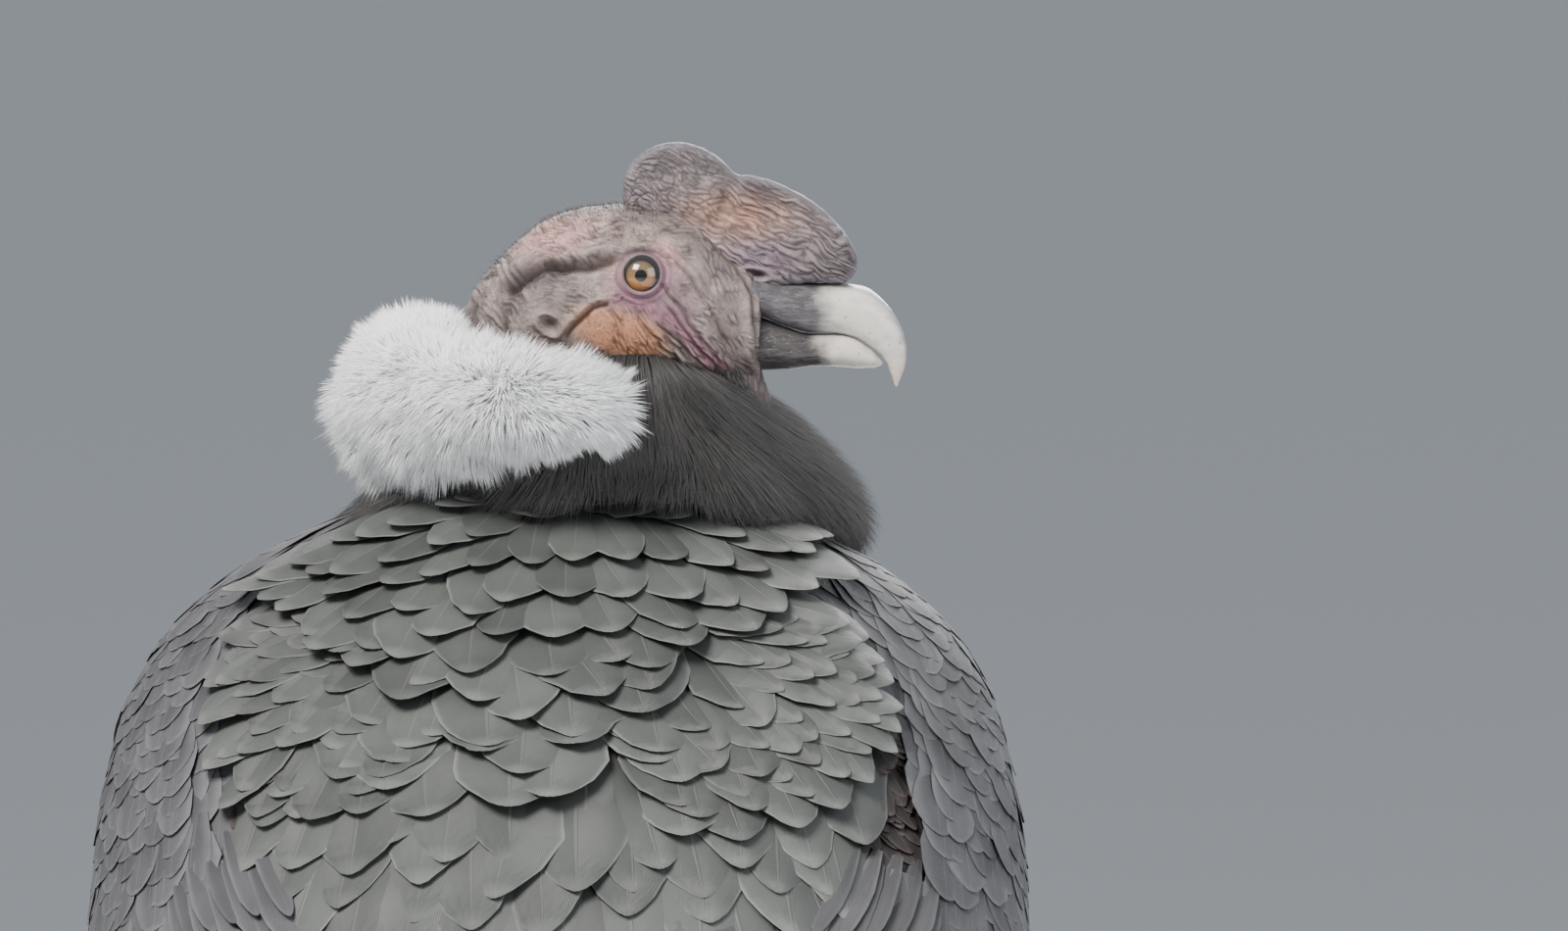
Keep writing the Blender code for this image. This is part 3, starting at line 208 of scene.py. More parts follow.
def smooth(low: float, high: float, x: Array) -> Array:
    """A smooth step from 0 at low to 1 at high."""
    t = np.clip((x - low) / (high - low), 0.0, 1.0)
    return t * t * (3 - 2 * t)


def bell(x: Array, centre: float, width: float) -> Array:
    """A soft bump from 0 to 1 round a centre."""
    return np.exp(-((x - centre) / width) ** 2)


def turned(x: Array, z: Array, degrees: float) -> tuple[Array, Array]:
    """Places along axes that are turned by those degrees from x to z.

    Args:
        x: One coordinate of each place.
        z: The other coordinate.
        degrees: How far the axes are turned.

    Returns:
        The two coordinates along the turned axes.
    """
    cos, sin = math.cos(math.radians(degrees)), math.sin(math.radians(degrees))
    return x * cos + z * sin, z * cos - x * sin


def oval(x: Array, z: Array, cx: float, cz: float, long: float, high: float, tilt: float) -> Array:
    """A patch with soft edges.

    Args:
        x: One coordinate of each place.
        z: The other coordinate.
        cx: The patch's middle in x.
        cz: The patch's middle in z.
        long: Half its length.
        high: Half its height.
        tilt: Degrees that its length is turned from x to z.

    Returns:
        0 outside to 1 in the middle, at each place.
    """
    u, v = turned(x - cx, z - cz, tilt)
    return np.exp(-(((u / long) ** 2 + (v / high) ** 2) ** 1.4))


def lattice(corner: Array, seed: int) -> Array:
    """A fixed value from 0 to 1 for each corner of a lattice.

    Args:
        corner: Whole numbers, with three columns.
        seed: Picks another field.

    Returns:
        A value for each corner.
    """
    h = corner @ np.array((374761393, 668265263, 1274126177)) + seed * 974711
    h = (h ^ (h >> 13)) * 1103515245 & 0xFFFFFFFF
    h = (h ^ (h >> 16)) * 1597334677 & 0xFFFFFFFF
    return ((h ^ (h >> 15)) & 0xFFFF) / 65535.0


def noise(points: Array, seed: int) -> Array:
    """Smooth noise from -1 to 1.

    Args:
        points: Places, with three columns, one lattice cell to a unit.
        seed: Picks another field.

    Returns:
        A value for each place.
    """
    cell = np.floor(points).astype(np.int64)
    f = points - cell
    f = f * f * f * (f * (f * 6 - 15) + 10)
    total = np.zeros(points.shape[:-1])
    for corner in product((0, 1), repeat=3):
        weight = np.prod(np.where(corner, f, 1 - f), axis=-1)
        total += weight * lattice(cell + corner, seed)
    return total * 2 - 1


def creases(points: Array, seed: int) -> Array:
    """Leathery ridges with grooves between them.

    Args:
        points: Places, one ridge to a unit.
        seed: Picks another field.

    Returns:
        0 in a groove to 1 on a ridge, at each place.
    """
    cell = np.floor(points).astype(np.int64)
    nearest = np.full(points.shape[:-1], 9.0)
    second = nearest.copy()
    for step in product((-1, 0, 1), repeat=3):
        there = cell + step
        spot = xyz(*(lattice(there, seed + 7 * n) for n in range(3)))
        gap = np.linalg.norm(there + spot - points, axis=-1)
        second = np.minimum(second, np.maximum(nearest, gap))
        nearest = np.minimum(nearest, gap)
    return np.clip((second - nearest) / 0.42, 0.0, 1.0) ** 0.75


def near_line(x: Array, z: Array, corners: Sequence[tuple[float, float]]) -> tuple[Array, Array, Array]:
    """How near places lie to a line of corners.

    Args:
        x: One coordinate of each place.
        z: The other coordinate.
        corners: The line's corners.

    Returns:
        The distance, the side of the line from -1 to 1, and the share of the line passed.
    """
    best = np.full(x.shape, 1e9)
    side = np.zeros(x.shape)
    passed = np.zeros(x.shape)
    count = len(corners) - 1
    for i in range(count):
        (ax, az), (bx, bz) = corners[i], corners[i + 1]
        dx, dz = bx - ax, bz - az
        t = np.clip(((x - ax) * dx + (z - az) * dz) / math.hypot(dx, dz) ** 2, 0.0, 1.0)
        gap = np.hypot(x - ax - t * dx, z - az - t * dz)
        nearer = gap < best
        best = np.where(nearer, gap, best)
        side = np.where(nearer, np.sign((x - ax) * dz - (z - az) * dx), side)
        passed = np.where(nearer, (i + t) / count, passed)
    return best, side, passed


def on_map(across: Array, up: Array, margin: float = 0.01) -> Array:
    """Places on the bake map from shares across and up it, inside a margin."""
    return np.stack(np.broadcast_arrays(blend(margin, 1 - margin, across), blend(margin, 1 - margin, up)), -1)


def turn_share(v: Array) -> Array:
    """Degrees as a share of a full turn."""
    return (np.asarray(v) % 360.0) / 360.0


class Surface:
    """A surface with two coordinates, u and v, and a way out of it."""

    step_u = 0.004
    step_v = 1.5

    def shape(self, u: Array, v: Array, out: Array) -> Array:
        """Places at u and v, moved outwards by out, all three of one shape."""
        raise NotImplementedError

    def heart(self, u: Array, v: Array) -> Array:
        """A place inside for each u and v, from which the surface lies outwards."""
        raise NotImplementedError

    def unwrap(self, u: Array, v: Array) -> Array:
        """Where u and v lie on the bake map, from 0 to 1."""
        raise NotImplementedError

    def points(self, u: Array, v: Array, out: Array | float = 0.0) -> Array:
        """Places at u and v, moved outwards by out."""
        return self.shape(*np.broadcast_arrays(np.asarray(u, float), np.asarray(v, float), out))

    def normals(self, u: Array, v: Array) -> Array:
        """The way straight out of the surface.

        Args:
            u: The first coordinate.
            v: The second coordinate.

        Returns:
            A direction for each place.
        """
        u, v = np.broadcast_arrays(np.asarray(u, float), np.asarray(v, float))
        down = self.points(u + self.step_u, v) - self.points(u - self.step_u, v)
        across = self.points(u, v + self.step_v) - self.points(u, v - self.step_v)
        out = unit(np.cross(down, across))
        facing = np.sum(out * (self.points(u, v) - self.heart(u, v)), axis=-1, keepdims=True)
        return out * np.where(facing < 0, -1.0, 1.0)


class BodySurface(Surface):
    """A surface round the body's axis: u runs from the neck to the tail and v in degrees from the spine."""

    axis = Track(AXIS)

    def __init__(self, table: Sequence[Sequence[float]]) -> None:
        """Keeps a table of half width, depth to the back and depth to the breast."""
        self.track = Track(table)
        self.low, self.high = table[0][0], table[-1][0]

    def spine(self, s: Array) -> tuple[Array, Array]:
        """The middle of the body and the way to its back.

        Args:
            s: Places along the axis.

        Returns:
            The middle and the direction at each place.
        """
        y, z = columns(self.axis(s))
        ahead_y, ahead_z = columns(unit(self.axis(s + self.step_u) - self.axis(s - self.step_u)))
        return xyz(0.0, y, z), xyz(0.0, ahead_z, -ahead_y)

    def shape(self, u: Array, v: Array, out: Array) -> Array:
        """Places round the axis.

        Args:
            u: Metres down the axis.
            v: Degrees from the spine.
            out: Metres outwards.

        Returns:
            The places.
        """
        centre, to_back = self.spine(u)
        width, back, front = columns(self.track(u))
        angle = np.radians(v)
        depth = np.where(np.cos(angle) > 0, back, front)
        place = centre + to_back * ((depth + out) * np.cos(angle))[..., None]
        place[..., 0] += (width + out) * np.sin(angle)
        return place

    def heart(self, u: Array, v: Array) -> Array:
        """The body's axis at u."""
        return self.spine(u)[0]

    def unwrap(self, u: Array, v: Array) -> Array:
        """Degrees across the map and length up it."""
        return on_map(turn_share(v), (u - self.low) / (self.high - self.low))


class TubeSurface(Surface):
    """A surface round a bent line: u runs along it and v in degrees round it."""

    step_u = 0.02
    step_v = 4.0

    def __init__(self, rows: Sequence[Sequence[float]], side: Side = Side.RIGHT) -> None:
        """Keeps the line and its length in steps.

        Args:
            rows: Rows of x, y, z and radius, each a step of one along u.
            side: The side it lies on, where the left one is a mirror image.
        """
        self.track = Track([(i, *row) for i, row in enumerate(rows)])
        self.mirror = np.array((side.value, 1.0, 1.0))
        self.length = len(rows) - 1

    def shape(self, u: Array, v: Array, out: Array) -> Array:
        """Places round the line.

        Args:
            u: Steps along the line.
            v: Degrees round it.
            out: Metres outwards.

        Returns:
            The places.
        """
        row = self.track(u)
        ahead = unit(self.track(u + 0.01)[..., :3] - self.track(u - 0.01)[..., :3])
        guide = np.array((1.0, 0.0, 0.0))
        across = unit(guide - ahead * np.sum(guide * ahead, -1, keepdims=True))
        up = np.cross(ahead, across)
        angle = np.radians(v)[..., None]
        reach = (across * np.cos(angle) + up * np.sin(angle)) * (row[..., 3] + out)[..., None]
        return (row[..., :3] + reach) * self.mirror

    def heart(self, u: Array, v: Array) -> Array:
        """The tube's line at u."""
        return self.track(u)[..., :3] * self.mirror

    def unwrap(self, u: Array, v: Array) -> Array:
        """Degrees across the map and length up it."""
        return on_map(turn_share(v), u / self.length)


class FrillSurface(Surface):
    """The outside of the dark neck feathers: u is height and v the turn from the bird's right."""

    track = Track(FRILL)
    step_u = 0.002
    step_v = 2.0
    low = 0.733
    high = 0.907

    def shape(self, u: Array, v: Array, out: Array) -> Array:
        """Places round the neck.

        Args:
            u: Height over the floor.
            v: Degrees from the bird's right.
            out: Metres outwards.

        Returns:
            The places.
        """
        x, y, wide, deep = columns(self.track(u))
        angle = np.radians(v)
        return xyz(x + (wide + out) * np.cos(angle), y + (deep + out) * np.sin(angle), u)

    def heart(self, u: Array, v: Array) -> Array:
        """The neck's middle, low down so that the top of the frill faces up."""
        x, y, _, _ = columns(self.track(u))
        return xyz(x, y, u - 0.02)

    def unwrap(self, u: Array, v: Array) -> Array:
        """Turn across the map and height up it."""
        return on_map(turn_share(v), (u - self.low) / (self.high - self.low))


class RuffSurface(Surface):
    """The outside of the white ruff: u goes round its section and v is the turn from the back of the neck."""

    track = Track(RUFF)
    centre = (0.008, 0.165, 0.880)
    across = 0.064
    along = 0.062
    step_u = 2.0
    step_v = 2.0

    def ring(self, v: Array) -> tuple[Array, Array]:
        """The middle of the section and the way out from the neck.

        Args:
            v: Degrees from the back of the neck.

        Returns:
            The middle and the direction at each turn.
        """
        turn = np.radians(v)
        out = xyz(-np.cos(turn), np.sin(turn), 0.0)
        x, y, z = self.centre
        return xyz(x + self.across * out[..., 0], y + self.along * out[..., 1], z - self.track.first(v)), out

    def shape(self, u: Array, v: Array, out: Array) -> Array:
        """Places round the ruff, which is lumpy and ragged below and hollow above its ends.

        Args:
            u: Degrees round the section, from the outside upwards.
            v: Degrees from the back of the neck.
            out: A share of the section's size to add.

        Returns:
            The places.
        """
        middle, away = self.ring(v)
        _, high, wide = columns(self.track(v))
        angle = np.radians(u)
        off = np.abs(v)
        lumps = noise(xyz(v / 9.5, 0.0, 0.0), 44)
        below = np.sin(angle) < 0
        raised = 1 - (0.30 * smooth(5.0, 60.0, off) + 0.20 * smooth(66.0, 96.0, off) + 0.24 * lumps) * below
        raised = raised - 0.27 * bell(off, 42, 24) * ~below
        wide = wide * (1 - 0.09 * bell(v, 0, 35))
        place = middle + away * (wide * (1 + out) * np.cos(angle))[..., None]
        place[..., 2] += high * raised * (1 + out) * np.sin(angle)
        return place

    def heart(self, u: Array, v: Array) -> Array:
        """The middle of the section."""
        return self.ring(v)[0]

    def unwrap(self, u: Array, v: Array) -> Array:
        """Turn across the map and section angle up it."""
        return on_map((v + 125.0) / 250.0, turn_share(u + 180.0), 0.02)


class SkullSurface(Surface):
    """The head's own shape: u is millimetres ahead of the eyes and v turns from the crown."""

    track = Track(SKULL)
    step_u = 0.8
    step_v = 2.0

    def shape(self, u: Array, v: Array, out: Array) -> Array:
        """Places on the skull.

        Args:
            u: Millimetres ahead of the eyes.
            v: Degrees from the crown.
            out: Metres outwards.

        Returns:
            The places.
        """
        top, bottom, half = columns(self.track(u))
        up, away = np.cos(np.radians(v)), np.sin(np.radians(v))
        full = 1.0 - 0.10 * np.maximum(up, 0.0) ** 2
        out = out / MM
        return head_place(u, (half * full + out) * away, (top + bottom) / 2 + ((top - bottom) / 2 + out) * up)

    def heart(self, u: Array, v: Array) -> Array:
        """The middle of the head, so that its back and front face outwards."""
        return head_place(u * 0.4 - 6, 0.0, -14.0)

    def unwrap(self, u: Array, v: Array) -> Array:
        """Length across the map and turn up it."""
        return on_map((u + 72) / 124, turn_share(v), 0.02)


class TailPlane(Surface):
    """A plane along the tail's axis: u from a feather's root to its tip and v metres sideways."""

    step_u = 0.02
    step_v = 0.002

    def __init__(self, s0: float, s1: float, body: BodySurface) -> None:
        """Keeps where the feather starts and ends on the body's axis, and the body."""
        self.s0, self.s1, self.body = s0, s1, body

    def shape(self, u: Array, v: Array, out: Array) -> Array:
        """Places along the feather.

        Args:
            u: Share of the way from root to tip.
            v: Metres sideways.
            out: Metres over the axis.

        Returns:
            The places.
        """
        middle, to_back = self.body.spine(blend(self.s0, self.s1, u))
        return middle + to_back * out[..., None] + xyz(v, 0.0, 0.0)

    def heart(self, u: Array, v: Array) -> Array:
        """A place under the tail."""
        return self.points(u, v, -0.05)

    def unwrap(self, u: Array, v: Array) -> Array:
        """Sideways across the map and root height up it."""
        return xyz(0.5 + 6.0 * v, 0.1 + 0.8 * (self.s0 - 0.42) / 0.15, 0.0)[..., :2]


def head_place(x: Array, y: Array, z: Array) -> Array:
    """Places in the model from millimetres ahead of, left of and above the middle of the eyes."""
    return EYE + xyz(x, y, z) * MM


class Graph:
    """A material's shader nodes, added and linked by short calls."""

    def __init__(self, name: str) -> None:
        """Starts a material with its Principled shader."""
        self.material = bpy.data.materials.new(name)
        self.material.use_nodes = True
        self.nodes = self.material.node_tree.nodes
        self.links = self.material.node_tree.links
        self.shader = self.nodes["Principled BSDF"]

    def put(self, socket: Socket, value: object) -> None:
        """Links a socket to another, or sets it to a number or colour.

        Args:
            socket: The socket.
            value: The other socket, the number or the colour.
        """
        if isinstance(value, Socket):
            self.links.new(value, socket)
        elif isinstance(value, tuple):
            socket.default_value = (*value, 1.0) if len(socket.default_value) == 4 else value
        else:
            socket.default_value = value

    def node(self, kind: str, inputs: dict[str | int, object], **settings: str) -> bpy.types.ShaderNode:
        """Adds a node.

        Args:
            kind: Its type, without the words ShaderNode.
            inputs: What goes into it, by the name or number of the input.
            settings: What else is set on it.

        Returns:
            The node.
        """
        made = self.nodes.new("ShaderNode" + kind)
        for name, value in settings.items():
            setattr(made, name, value)
        for name, value in inputs.items():
            self.put(made.inputs[name], value)
        return made

    def attribute(self, name: str) -> Socket:
        """A number kept with each point of the mesh."""
        return self.node("Attribute", {}, attribute_name=name).outputs["Fac"]

    def math(self, kind: str, a: object, b: object = 0.0) -> Socket:
        """One sum with two terms."""
        return self.node("Math", {0: a, 1: b}, operation=kind).outputs[0]

    def times(self, a: object, b: object) -> Socket:
        """One term multiplied by the other."""
        return self.math("MULTIPLY", a, b)

    def plus(self, a: object, b: object) -> Socket:
        """One term added to the other."""
        return self.math("ADD", a, b)

    def minus(self, a: object, b: object) -> Socket:
        """The second term taken from the first."""
        return self.math("SUBTRACT", a, b)

    def step(self, value: object, low: float, high: float) -> Socket:
        """A smooth step from 0 at low to 1 at high."""
        ends = {"Value": value, "From Min": low, "From Max": high}
        return self.node("MapRange", ends, interpolation_type="SMOOTHSTEP").outputs["Result"]

    def mix(self, share: object, a: object, b: object) -> Socket:
        """One colour turning into another."""
        return self.node("Mix", {0: share, 6: a, 7: b}, data_type="RGBA").outputs[2]

    def place(self, scale: tuple[float, float, float] = (1, 1, 1)) -> Socket:
        """The place on the model in metres, stretched by scale."""
        vector = self.node("TexCoord", {}).outputs["Object"]
        return self.node("Mapping", {"Vector": vector, "Scale": scale}).outputs["Vector"]

    def split(self) -> tuple[Socket, ...]:
        """The x, y and z of the place on the model."""
        return tuple(self.node("SeparateXYZ", {0: self.place()}).outputs)

    def noise(self, scale: float, detail: float = 4.0, place: Socket | None = None) -> Socket:
        """Cloudy noise about 0.5."""
        inputs = {"Vector": place or self.place(), "Scale": scale, "Detail": detail}
        return self.node("TexNoise", inputs).outputs["Fac"]

    def cells(self, scale: float) -> Socket:
        """The distance from the edges of cells."""
        inputs = {"Vector": self.place(), "Scale": scale}
        return self.node("TexVoronoi", inputs, feature="DISTANCE_TO_EDGE").outputs["Distance"]

    def bump(self, height: Socket, depth: float, strength: float) -> None:
        """Roughens the surface by this height."""
        bump = self.node("Bump", {"Strength": strength, "Distance": depth, "Height": height})
        self.put(self.shader.inputs["Normal"], bump.outputs["Normal"])

    def finish(self, colour: object, **settings: float) -> bpy.types.Material:
        """Sets the colour and the plain numbers of the shader.

        Args:
            colour: A colour or the socket that gives it.
            settings: Values by socket name, with a low line for each space.

        Returns:
            The finished material.
        """
        self.put(self.shader.inputs["Base Color"], colour)
        for name, value in settings.items():
            self.put(self.shader.inputs[name.replace("_", " ")], value)
        return self.material


@dataclass(frozen=True)
class Finish:
    """What every finish has: its name and the name of its slot."""

    name: str
    slot: str

    def material(self) -> bpy.types.Material:
        """The finish as a material."""
        raise NotImplementedError

    def made(self) -> bpy.types.Material:
        """The material, made once."""
        return bpy.data.materials.get(self.name) or self.material()


@dataclass(frozen=True)
class FeatherFinish(Finish):
    """A feather's vane: barbs, a shaft, a paler edge, a tone of its own, and painted shade towards its root.
    """

    base: Colour
    edge: Colour
    # Painted shade: the darker colour towards the root, where the feathers that overlap it would shade it.
    root: Colour
    edge_from: float
    roughness: float
    barbs: float = 90.0
    sheen: float = 0.02
    shaft: float = 0.22
    shaft_tint: Colour = (0.17, 0.15, 0.13)
    shade: Colour = (0.012, 0.012, 0.013)

    def material(self) -> bpy.types.Material:
        """Colours each feather along and across.

        Returns:
            The material.
        """
        g = Graph(self.name)
        along, across, tone = g.attribute("along"), g.attribute("across"), g.attribute("tone")
        away = g.math("ABSOLUTE", across)
        rim = g.math("MAXIMUM", g.step(away, self.edge_from, 1.02), g.step(along, 0.90, 1.0))
        rim = g.times(rim, g.plus(g.times(g.noise(180.0, 5.0), 1.1), 0.35))
        # Painted shade: darker towards the root, under the feathers that overlap it.
        colour = g.mix(g.step(along, 0.20, 0.80), self.root, self.base)
        colour = g.mix(rim, colour, self.edge)
        streak = g.noise(60.0, 4.0, g.place((1.0, 1.0, 0.25)))
        light = g.plus(g.times(tone, 0.50), g.times(streak, 0.70))
        colour = g.mix(g.step(light, 0.15, 1.05), g.mix(0.55, colour, self.shade), colour)
        shaft = g.minus(1.0, g.step(away, 0.012, 0.045))
        colour = g.mix(g.times(shaft, self.shaft), colour, self.shaft_tint)
        phase = g.minus(g.times(along, self.barbs), g.times(away, self.barbs * 0.28))
        wave = g.math("SINE", g.times(phase, FULL_TURN))
        g.bump(g.plus(g.times(wave, 0.30), g.times(shaft, 1.6)), 0.00030, 0.55)
        return g.finish(colour, Roughness=self.roughness, Sheen_Weight=self.sheen, Sheen_Roughness=0.45)


@dataclass(frozen=True)
class DownFinish(Finish):
    """Fine down or hair, shaded from its root to its tip."""

    root: Colour
    tip: Colour
    roughness: float
    sheen: float
    uneven: float = 0.45
    shade: Colour = (0.01, 0.01, 0.01)

    def material(self) -> bpy.types.Material:
        """Colours each tuft along.

        Returns:
            The material.
        """
        g = Graph(self.name)
        colour = g.mix(g.step(g.attribute("along"), 0.1, 0.95), self.root, self.tip)
        colour = g.mix(g.times(g.attribute("tone"), self.uneven), colour, g.mix(0.5, self.root, self.shade))
        return g.finish(colour, Roughness=self.roughness, Sheen_Weight=self.sheen)


@dataclass(frozen=True)
class UnderFinish(Finish):
    """The surface that the feathers are rooted in."""

    colour: Colour
    roughness: float = 0.9
    shade: float = 0.5

    def material(self) -> bpy.types.Material:
        """Clouds the colour a little.

        Returns:
            The material.
        """
        g = Graph(self.name)
        g.bump(g.noise(900.0, 3.0), 0.0006, 0.5)
        dark = g.mix(self.shade, self.colour, (0.0, 0.0, 0.0))
        return g.finish(g.mix(g.noise(90.0, 5.0), dark, self.colour), Roughness=self.roughness)


@dataclass(frozen=True)
class SkinFinish(Finish):
    """Bare skin that is grey-pink, with orange, pink and purple patches and painted shade in its creases."""

    base: Colour
    pale: Colour
    orange: Colour
    pink: Colour
    purple: Colour
    # The dark patches' colour; on the head part of them is painted shade under the brow fold.
    dark: Colour
    roughness: float = 0.52
    blotch_tint: Colour = (0.060, 0.040, 0.038)
    # Painted shade: the colour of the skin's creases.
    crease_shade_tint: Colour = (0.022, 0.014, 0.016)
    speck_tint: Colour = (0.055, 0.040, 0.040)

    def material(self) -> bpy.types.Material:
        """Lays the patches over the skin, which its points keep as numbers.

        Returns:
            The material.
        """
        g = Graph(self.name)
        cloud = g.noise(110.0, 6.0)
        colour = g.mix(g.step(cloud, 0.36, 0.66), self.base, self.pale)
        blotch = g.step(g.noise(420.0, 5.0), 0.44, 0.70)
        colour = g.mix(g.times(blotch, 0.42), colour, g.mix(0.62, colour, self.blotch_tint))
        # On the head, part of the dark patch is painted shade in the hollow under the brow fold.
        for name in ("orange", "pink", "purple", "dark"):
            patch = g.times(g.attribute(name), g.plus(g.times(cloud, 1.2), 0.35))
            colour = g.mix(g.step(patch, 0.0, 1.0), colour, getattr(self, name))
        # Painted shade: the skin is darker in its creases, grooves and pits.
        crease = g.times(g.attribute("crease"), 0.88)
        colour = g.mix(crease, colour, g.mix(0.86, colour, self.crease_shade_tint))
        speck = g.step(g.noise(1300.0, 2.0), 0.56, 0.68)
        colour = g.mix(g.times(speck, 0.42), colour, self.speck_tint)
        net = g.step(g.cells(950.0), 0.0, 0.10)
        g.bump(g.plus(g.times(net, 0.5), g.times(g.noise(2600.0, 3.0), 0.5)), 0.00022, 0.8)
        return g.finish(colour, Roughness=self.roughness, Subsurface_Weight=0.08, Subsurface_Scale=0.003)


@dataclass(frozen=True)
class HornFinish(Finish):
    """Polished horn, grey and skinny at the root and ivory from there on."""

    root: Colour
    body: Colour
    turns_over: float
    turns_at: float = 66.0
    roughness: float = 0.30
    spot_tint: Colour = (0.30, 0.22, 0.17)
    speck_tint: Colour = (0.16, 0.10, 0.075)
    ridge_tint: Colour = (0.235, 0.240, 0.262)
    hook_tint: Colour = (0.56, 0.40, 0.32)
    grain_tint: Colour = (0.36, 0.34, 0.34)
    root_shade: Colour = (0.02, 0.02, 0.02)
    # Painted shade: the colour in the folds of the skinny root.
    fold_shade_tint: Colour = (0.036, 0.030, 0.032)

    def material(self) -> bpy.types.Material:
        """Turns from one colour to the other along x.

        Returns:
            The material.
        """
        g = Graph(self.name)
        x, _, _ = g.split()
        cloud = g.noise(70.0, 5.0)
        place = g.plus(x, g.times(g.minus(cloud, 0.5), 0.022))
        start = float(EYE[0]) + self.turns_at * MM
        share = g.step(place, start, start + self.turns_over * MM)
        grain = g.noise(240.0, 4.0, g.place((0.25, 1.0, 1.0)))
        body = self.body
        for amount, tint in (
            (g.times(g.step(g.noise(160.0, 4.0), 0.60, 0.76), 0.40), self.spot_tint),
            (g.times(g.step(g.noise(520.0, 2.0), 0.66, 0.72), 0.55), self.speck_tint),
            (g.times(g.attribute("ridge"), 0.80), self.ridge_tint),
            (g.times(g.attribute("hook"), 0.65), self.hook_tint),
        ):
            body = g.mix(amount, body, tint)
        body = g.mix(g.step(grain, 0.42, 0.75), body, g.mix(0.35, body, self.grain_tint))
        root = g.mix(g.step(cloud, 0.35, 0.70), self.root, g.mix(0.5, self.root, self.root_shade))
        folds = g.step(g.noise(330.0, 6.0, g.place((0.55, 1.0, 1.5))), 0.40, 0.62)
        # Painted shade: the folds of the skinny root are darkened.
        root = g.mix(g.times(folds, 0.50), root, self.fold_shade_tint)
        rough = g.plus(grain, g.times(g.noise(1100.0, 3.0), 0.4))
        skinny = g.times(g.minus(1.0, share), g.times(folds, 3.0))
        g.bump(g.minus(rough, skinny), 0.00018, 0.6)
        colour = g.mix(share, root, body)
        return g.finish(colour, Roughness=self.roughness, Coat_Weight=0.25, Coat_Roughness=0.18)


@dataclass(frozen=True)
class EyeFinish(Finish):
    """A wet eye with a round pupil and an iris that is browner above and amber below."""

    iris_high: Colour = (0.150, 0.105, 0.060)
    iris_low: Colour = (0.40, 0.150, 0.028)
    spoke_tint: Colour = (0.16, 0.085, 0.030)
    ring_tint: Colour = (0.045, 0.028, 0.020)
    pupil_tint: Colour = (0.002, 0.002, 0.002)
    rim_tint: Colour = (0.012, 0.010, 0.011)
    pupil_mm: float = 2.4
    iris_mm: float = 5.7

    def material(self) -> bpy.types.Material:
        """Colours the eye by the distance from its own axis.

        Returns:
            The material.
        """
        g = Graph(self.name)
        x, _, z = g.split()
        dx = g.times(g.minus(x, float(EYE[0])), 1 / MM)
        dz = g.times(g.minus(z, float(EYE[2])), 1 / MM)
        far = g.math("SQRT", g.plus(g.times(dx, dx), g.times(dz, dz)))
        iris = g.mix(g.step(dz, -2.6, 2.2), self.iris_low, self.iris_high)
        iris = g.mix(g.times(g.noise(700.0, 4.0), 0.6), iris, self.spoke_tint)
        ring = g.step(far, self.pupil_mm + 1.9, self.iris_mm)
        iris = g.mix(g.times(ring, 0.55), iris, self.ring_tint)
        colour = g.mix(g.step(far, self.pupil_mm - 0.15, self.pupil_mm + 0.15), self.pupil_tint, iris)
        colour = g.mix(g.step(far, self.iris_mm - 0.1, self.iris_mm + 0.25), colour, self.rim_tint)
        return g.finish(colour, Roughness=0.12, Coat_Weight=1.0, Coat_Roughness=0.03)


@dataclass(frozen=True)
class ScaleFinish(Finish):
    """Scaled skin of the legs, or the dark horn of the claws, with a net of grooves."""

    base: Colour
    groove: Colour
    cells: float
    roughness: float
    shade: Colour = (0.05, 0.05, 0.05)

    def material(self) -> bpy.types.Material:
        """Draws the net of grooves.

        Returns:
            The material.
        """
        g = Graph(self.name)
        flat = g.step(g.cells(self.cells), 0.0, 0.09)
        body = g.mix(g.noise(140.0, 5.0), g.mix(0.4, self.base, self.shade), self.base)
        g.bump(g.plus(flat, g.times(g.noise(1500.0, 3.0), 0.3)), 0.0006, 0.7)
        return g.finish(g.mix(flat, self.groove, body), Roughness=self.roughness)


CAPE_FEATHER = FeatherFinish(
    "cape_feather", "feather_slate", (0.088, 0.094, 0.086), (0.190, 0.198, 0.180), (0.022, 0.024, 0.022),
    edge_from=0.88, roughness=0.50,
)
COVERT_FEATHER = FeatherFinish(
    "covert_feather", "wing_slate", (0.084, 0.083, 0.089), (0.135, 0.134, 0.142), (0.062, 0.061, 0.065),
    edge_from=0.40, roughness=0.62, barbs=30.0,
)
# Painted shade: dark feathers that stand in for the shade in the gap between cape and wing.
GAP_SHADE_FEATHER = FeatherFinish(
    "gap_shade_feather", "wing_slate", (0.026, 0.020, 0.018), (0.070, 0.046, 0.038), (0.010, 0.008, 0.007),
    edge_from=0.62, roughness=0.60, barbs=30.0,
)
PANEL_FEATHER = FeatherFinish(
    "panel_feather", "wing_slate", (0.46, 0.465, 0.47), (0.58, 0.585, 0.59), (0.055, 0.055, 0.058),
    edge_from=0.88, roughness=0.50, barbs=160.0,
)
FLIGHT_FEATHER = FeatherFinish(
    "flight_feather", "wing_slate", (0.010, 0.0103, 0.0115), (0.024, 0.025, 0.028), (0.007, 0.007, 0.008),
    edge_from=0.92, roughness=0.56, barbs=220.0,
)
BODY_FEATHER = FeatherFinish(
    "body_feather", "plumage_black", (0.0085, 0.0088, 0.010), (0.020, 0.021, 0.024), (0.005, 0.005, 0.0055),
    edge_from=0.72, roughness=0.62, barbs=40.0,
)
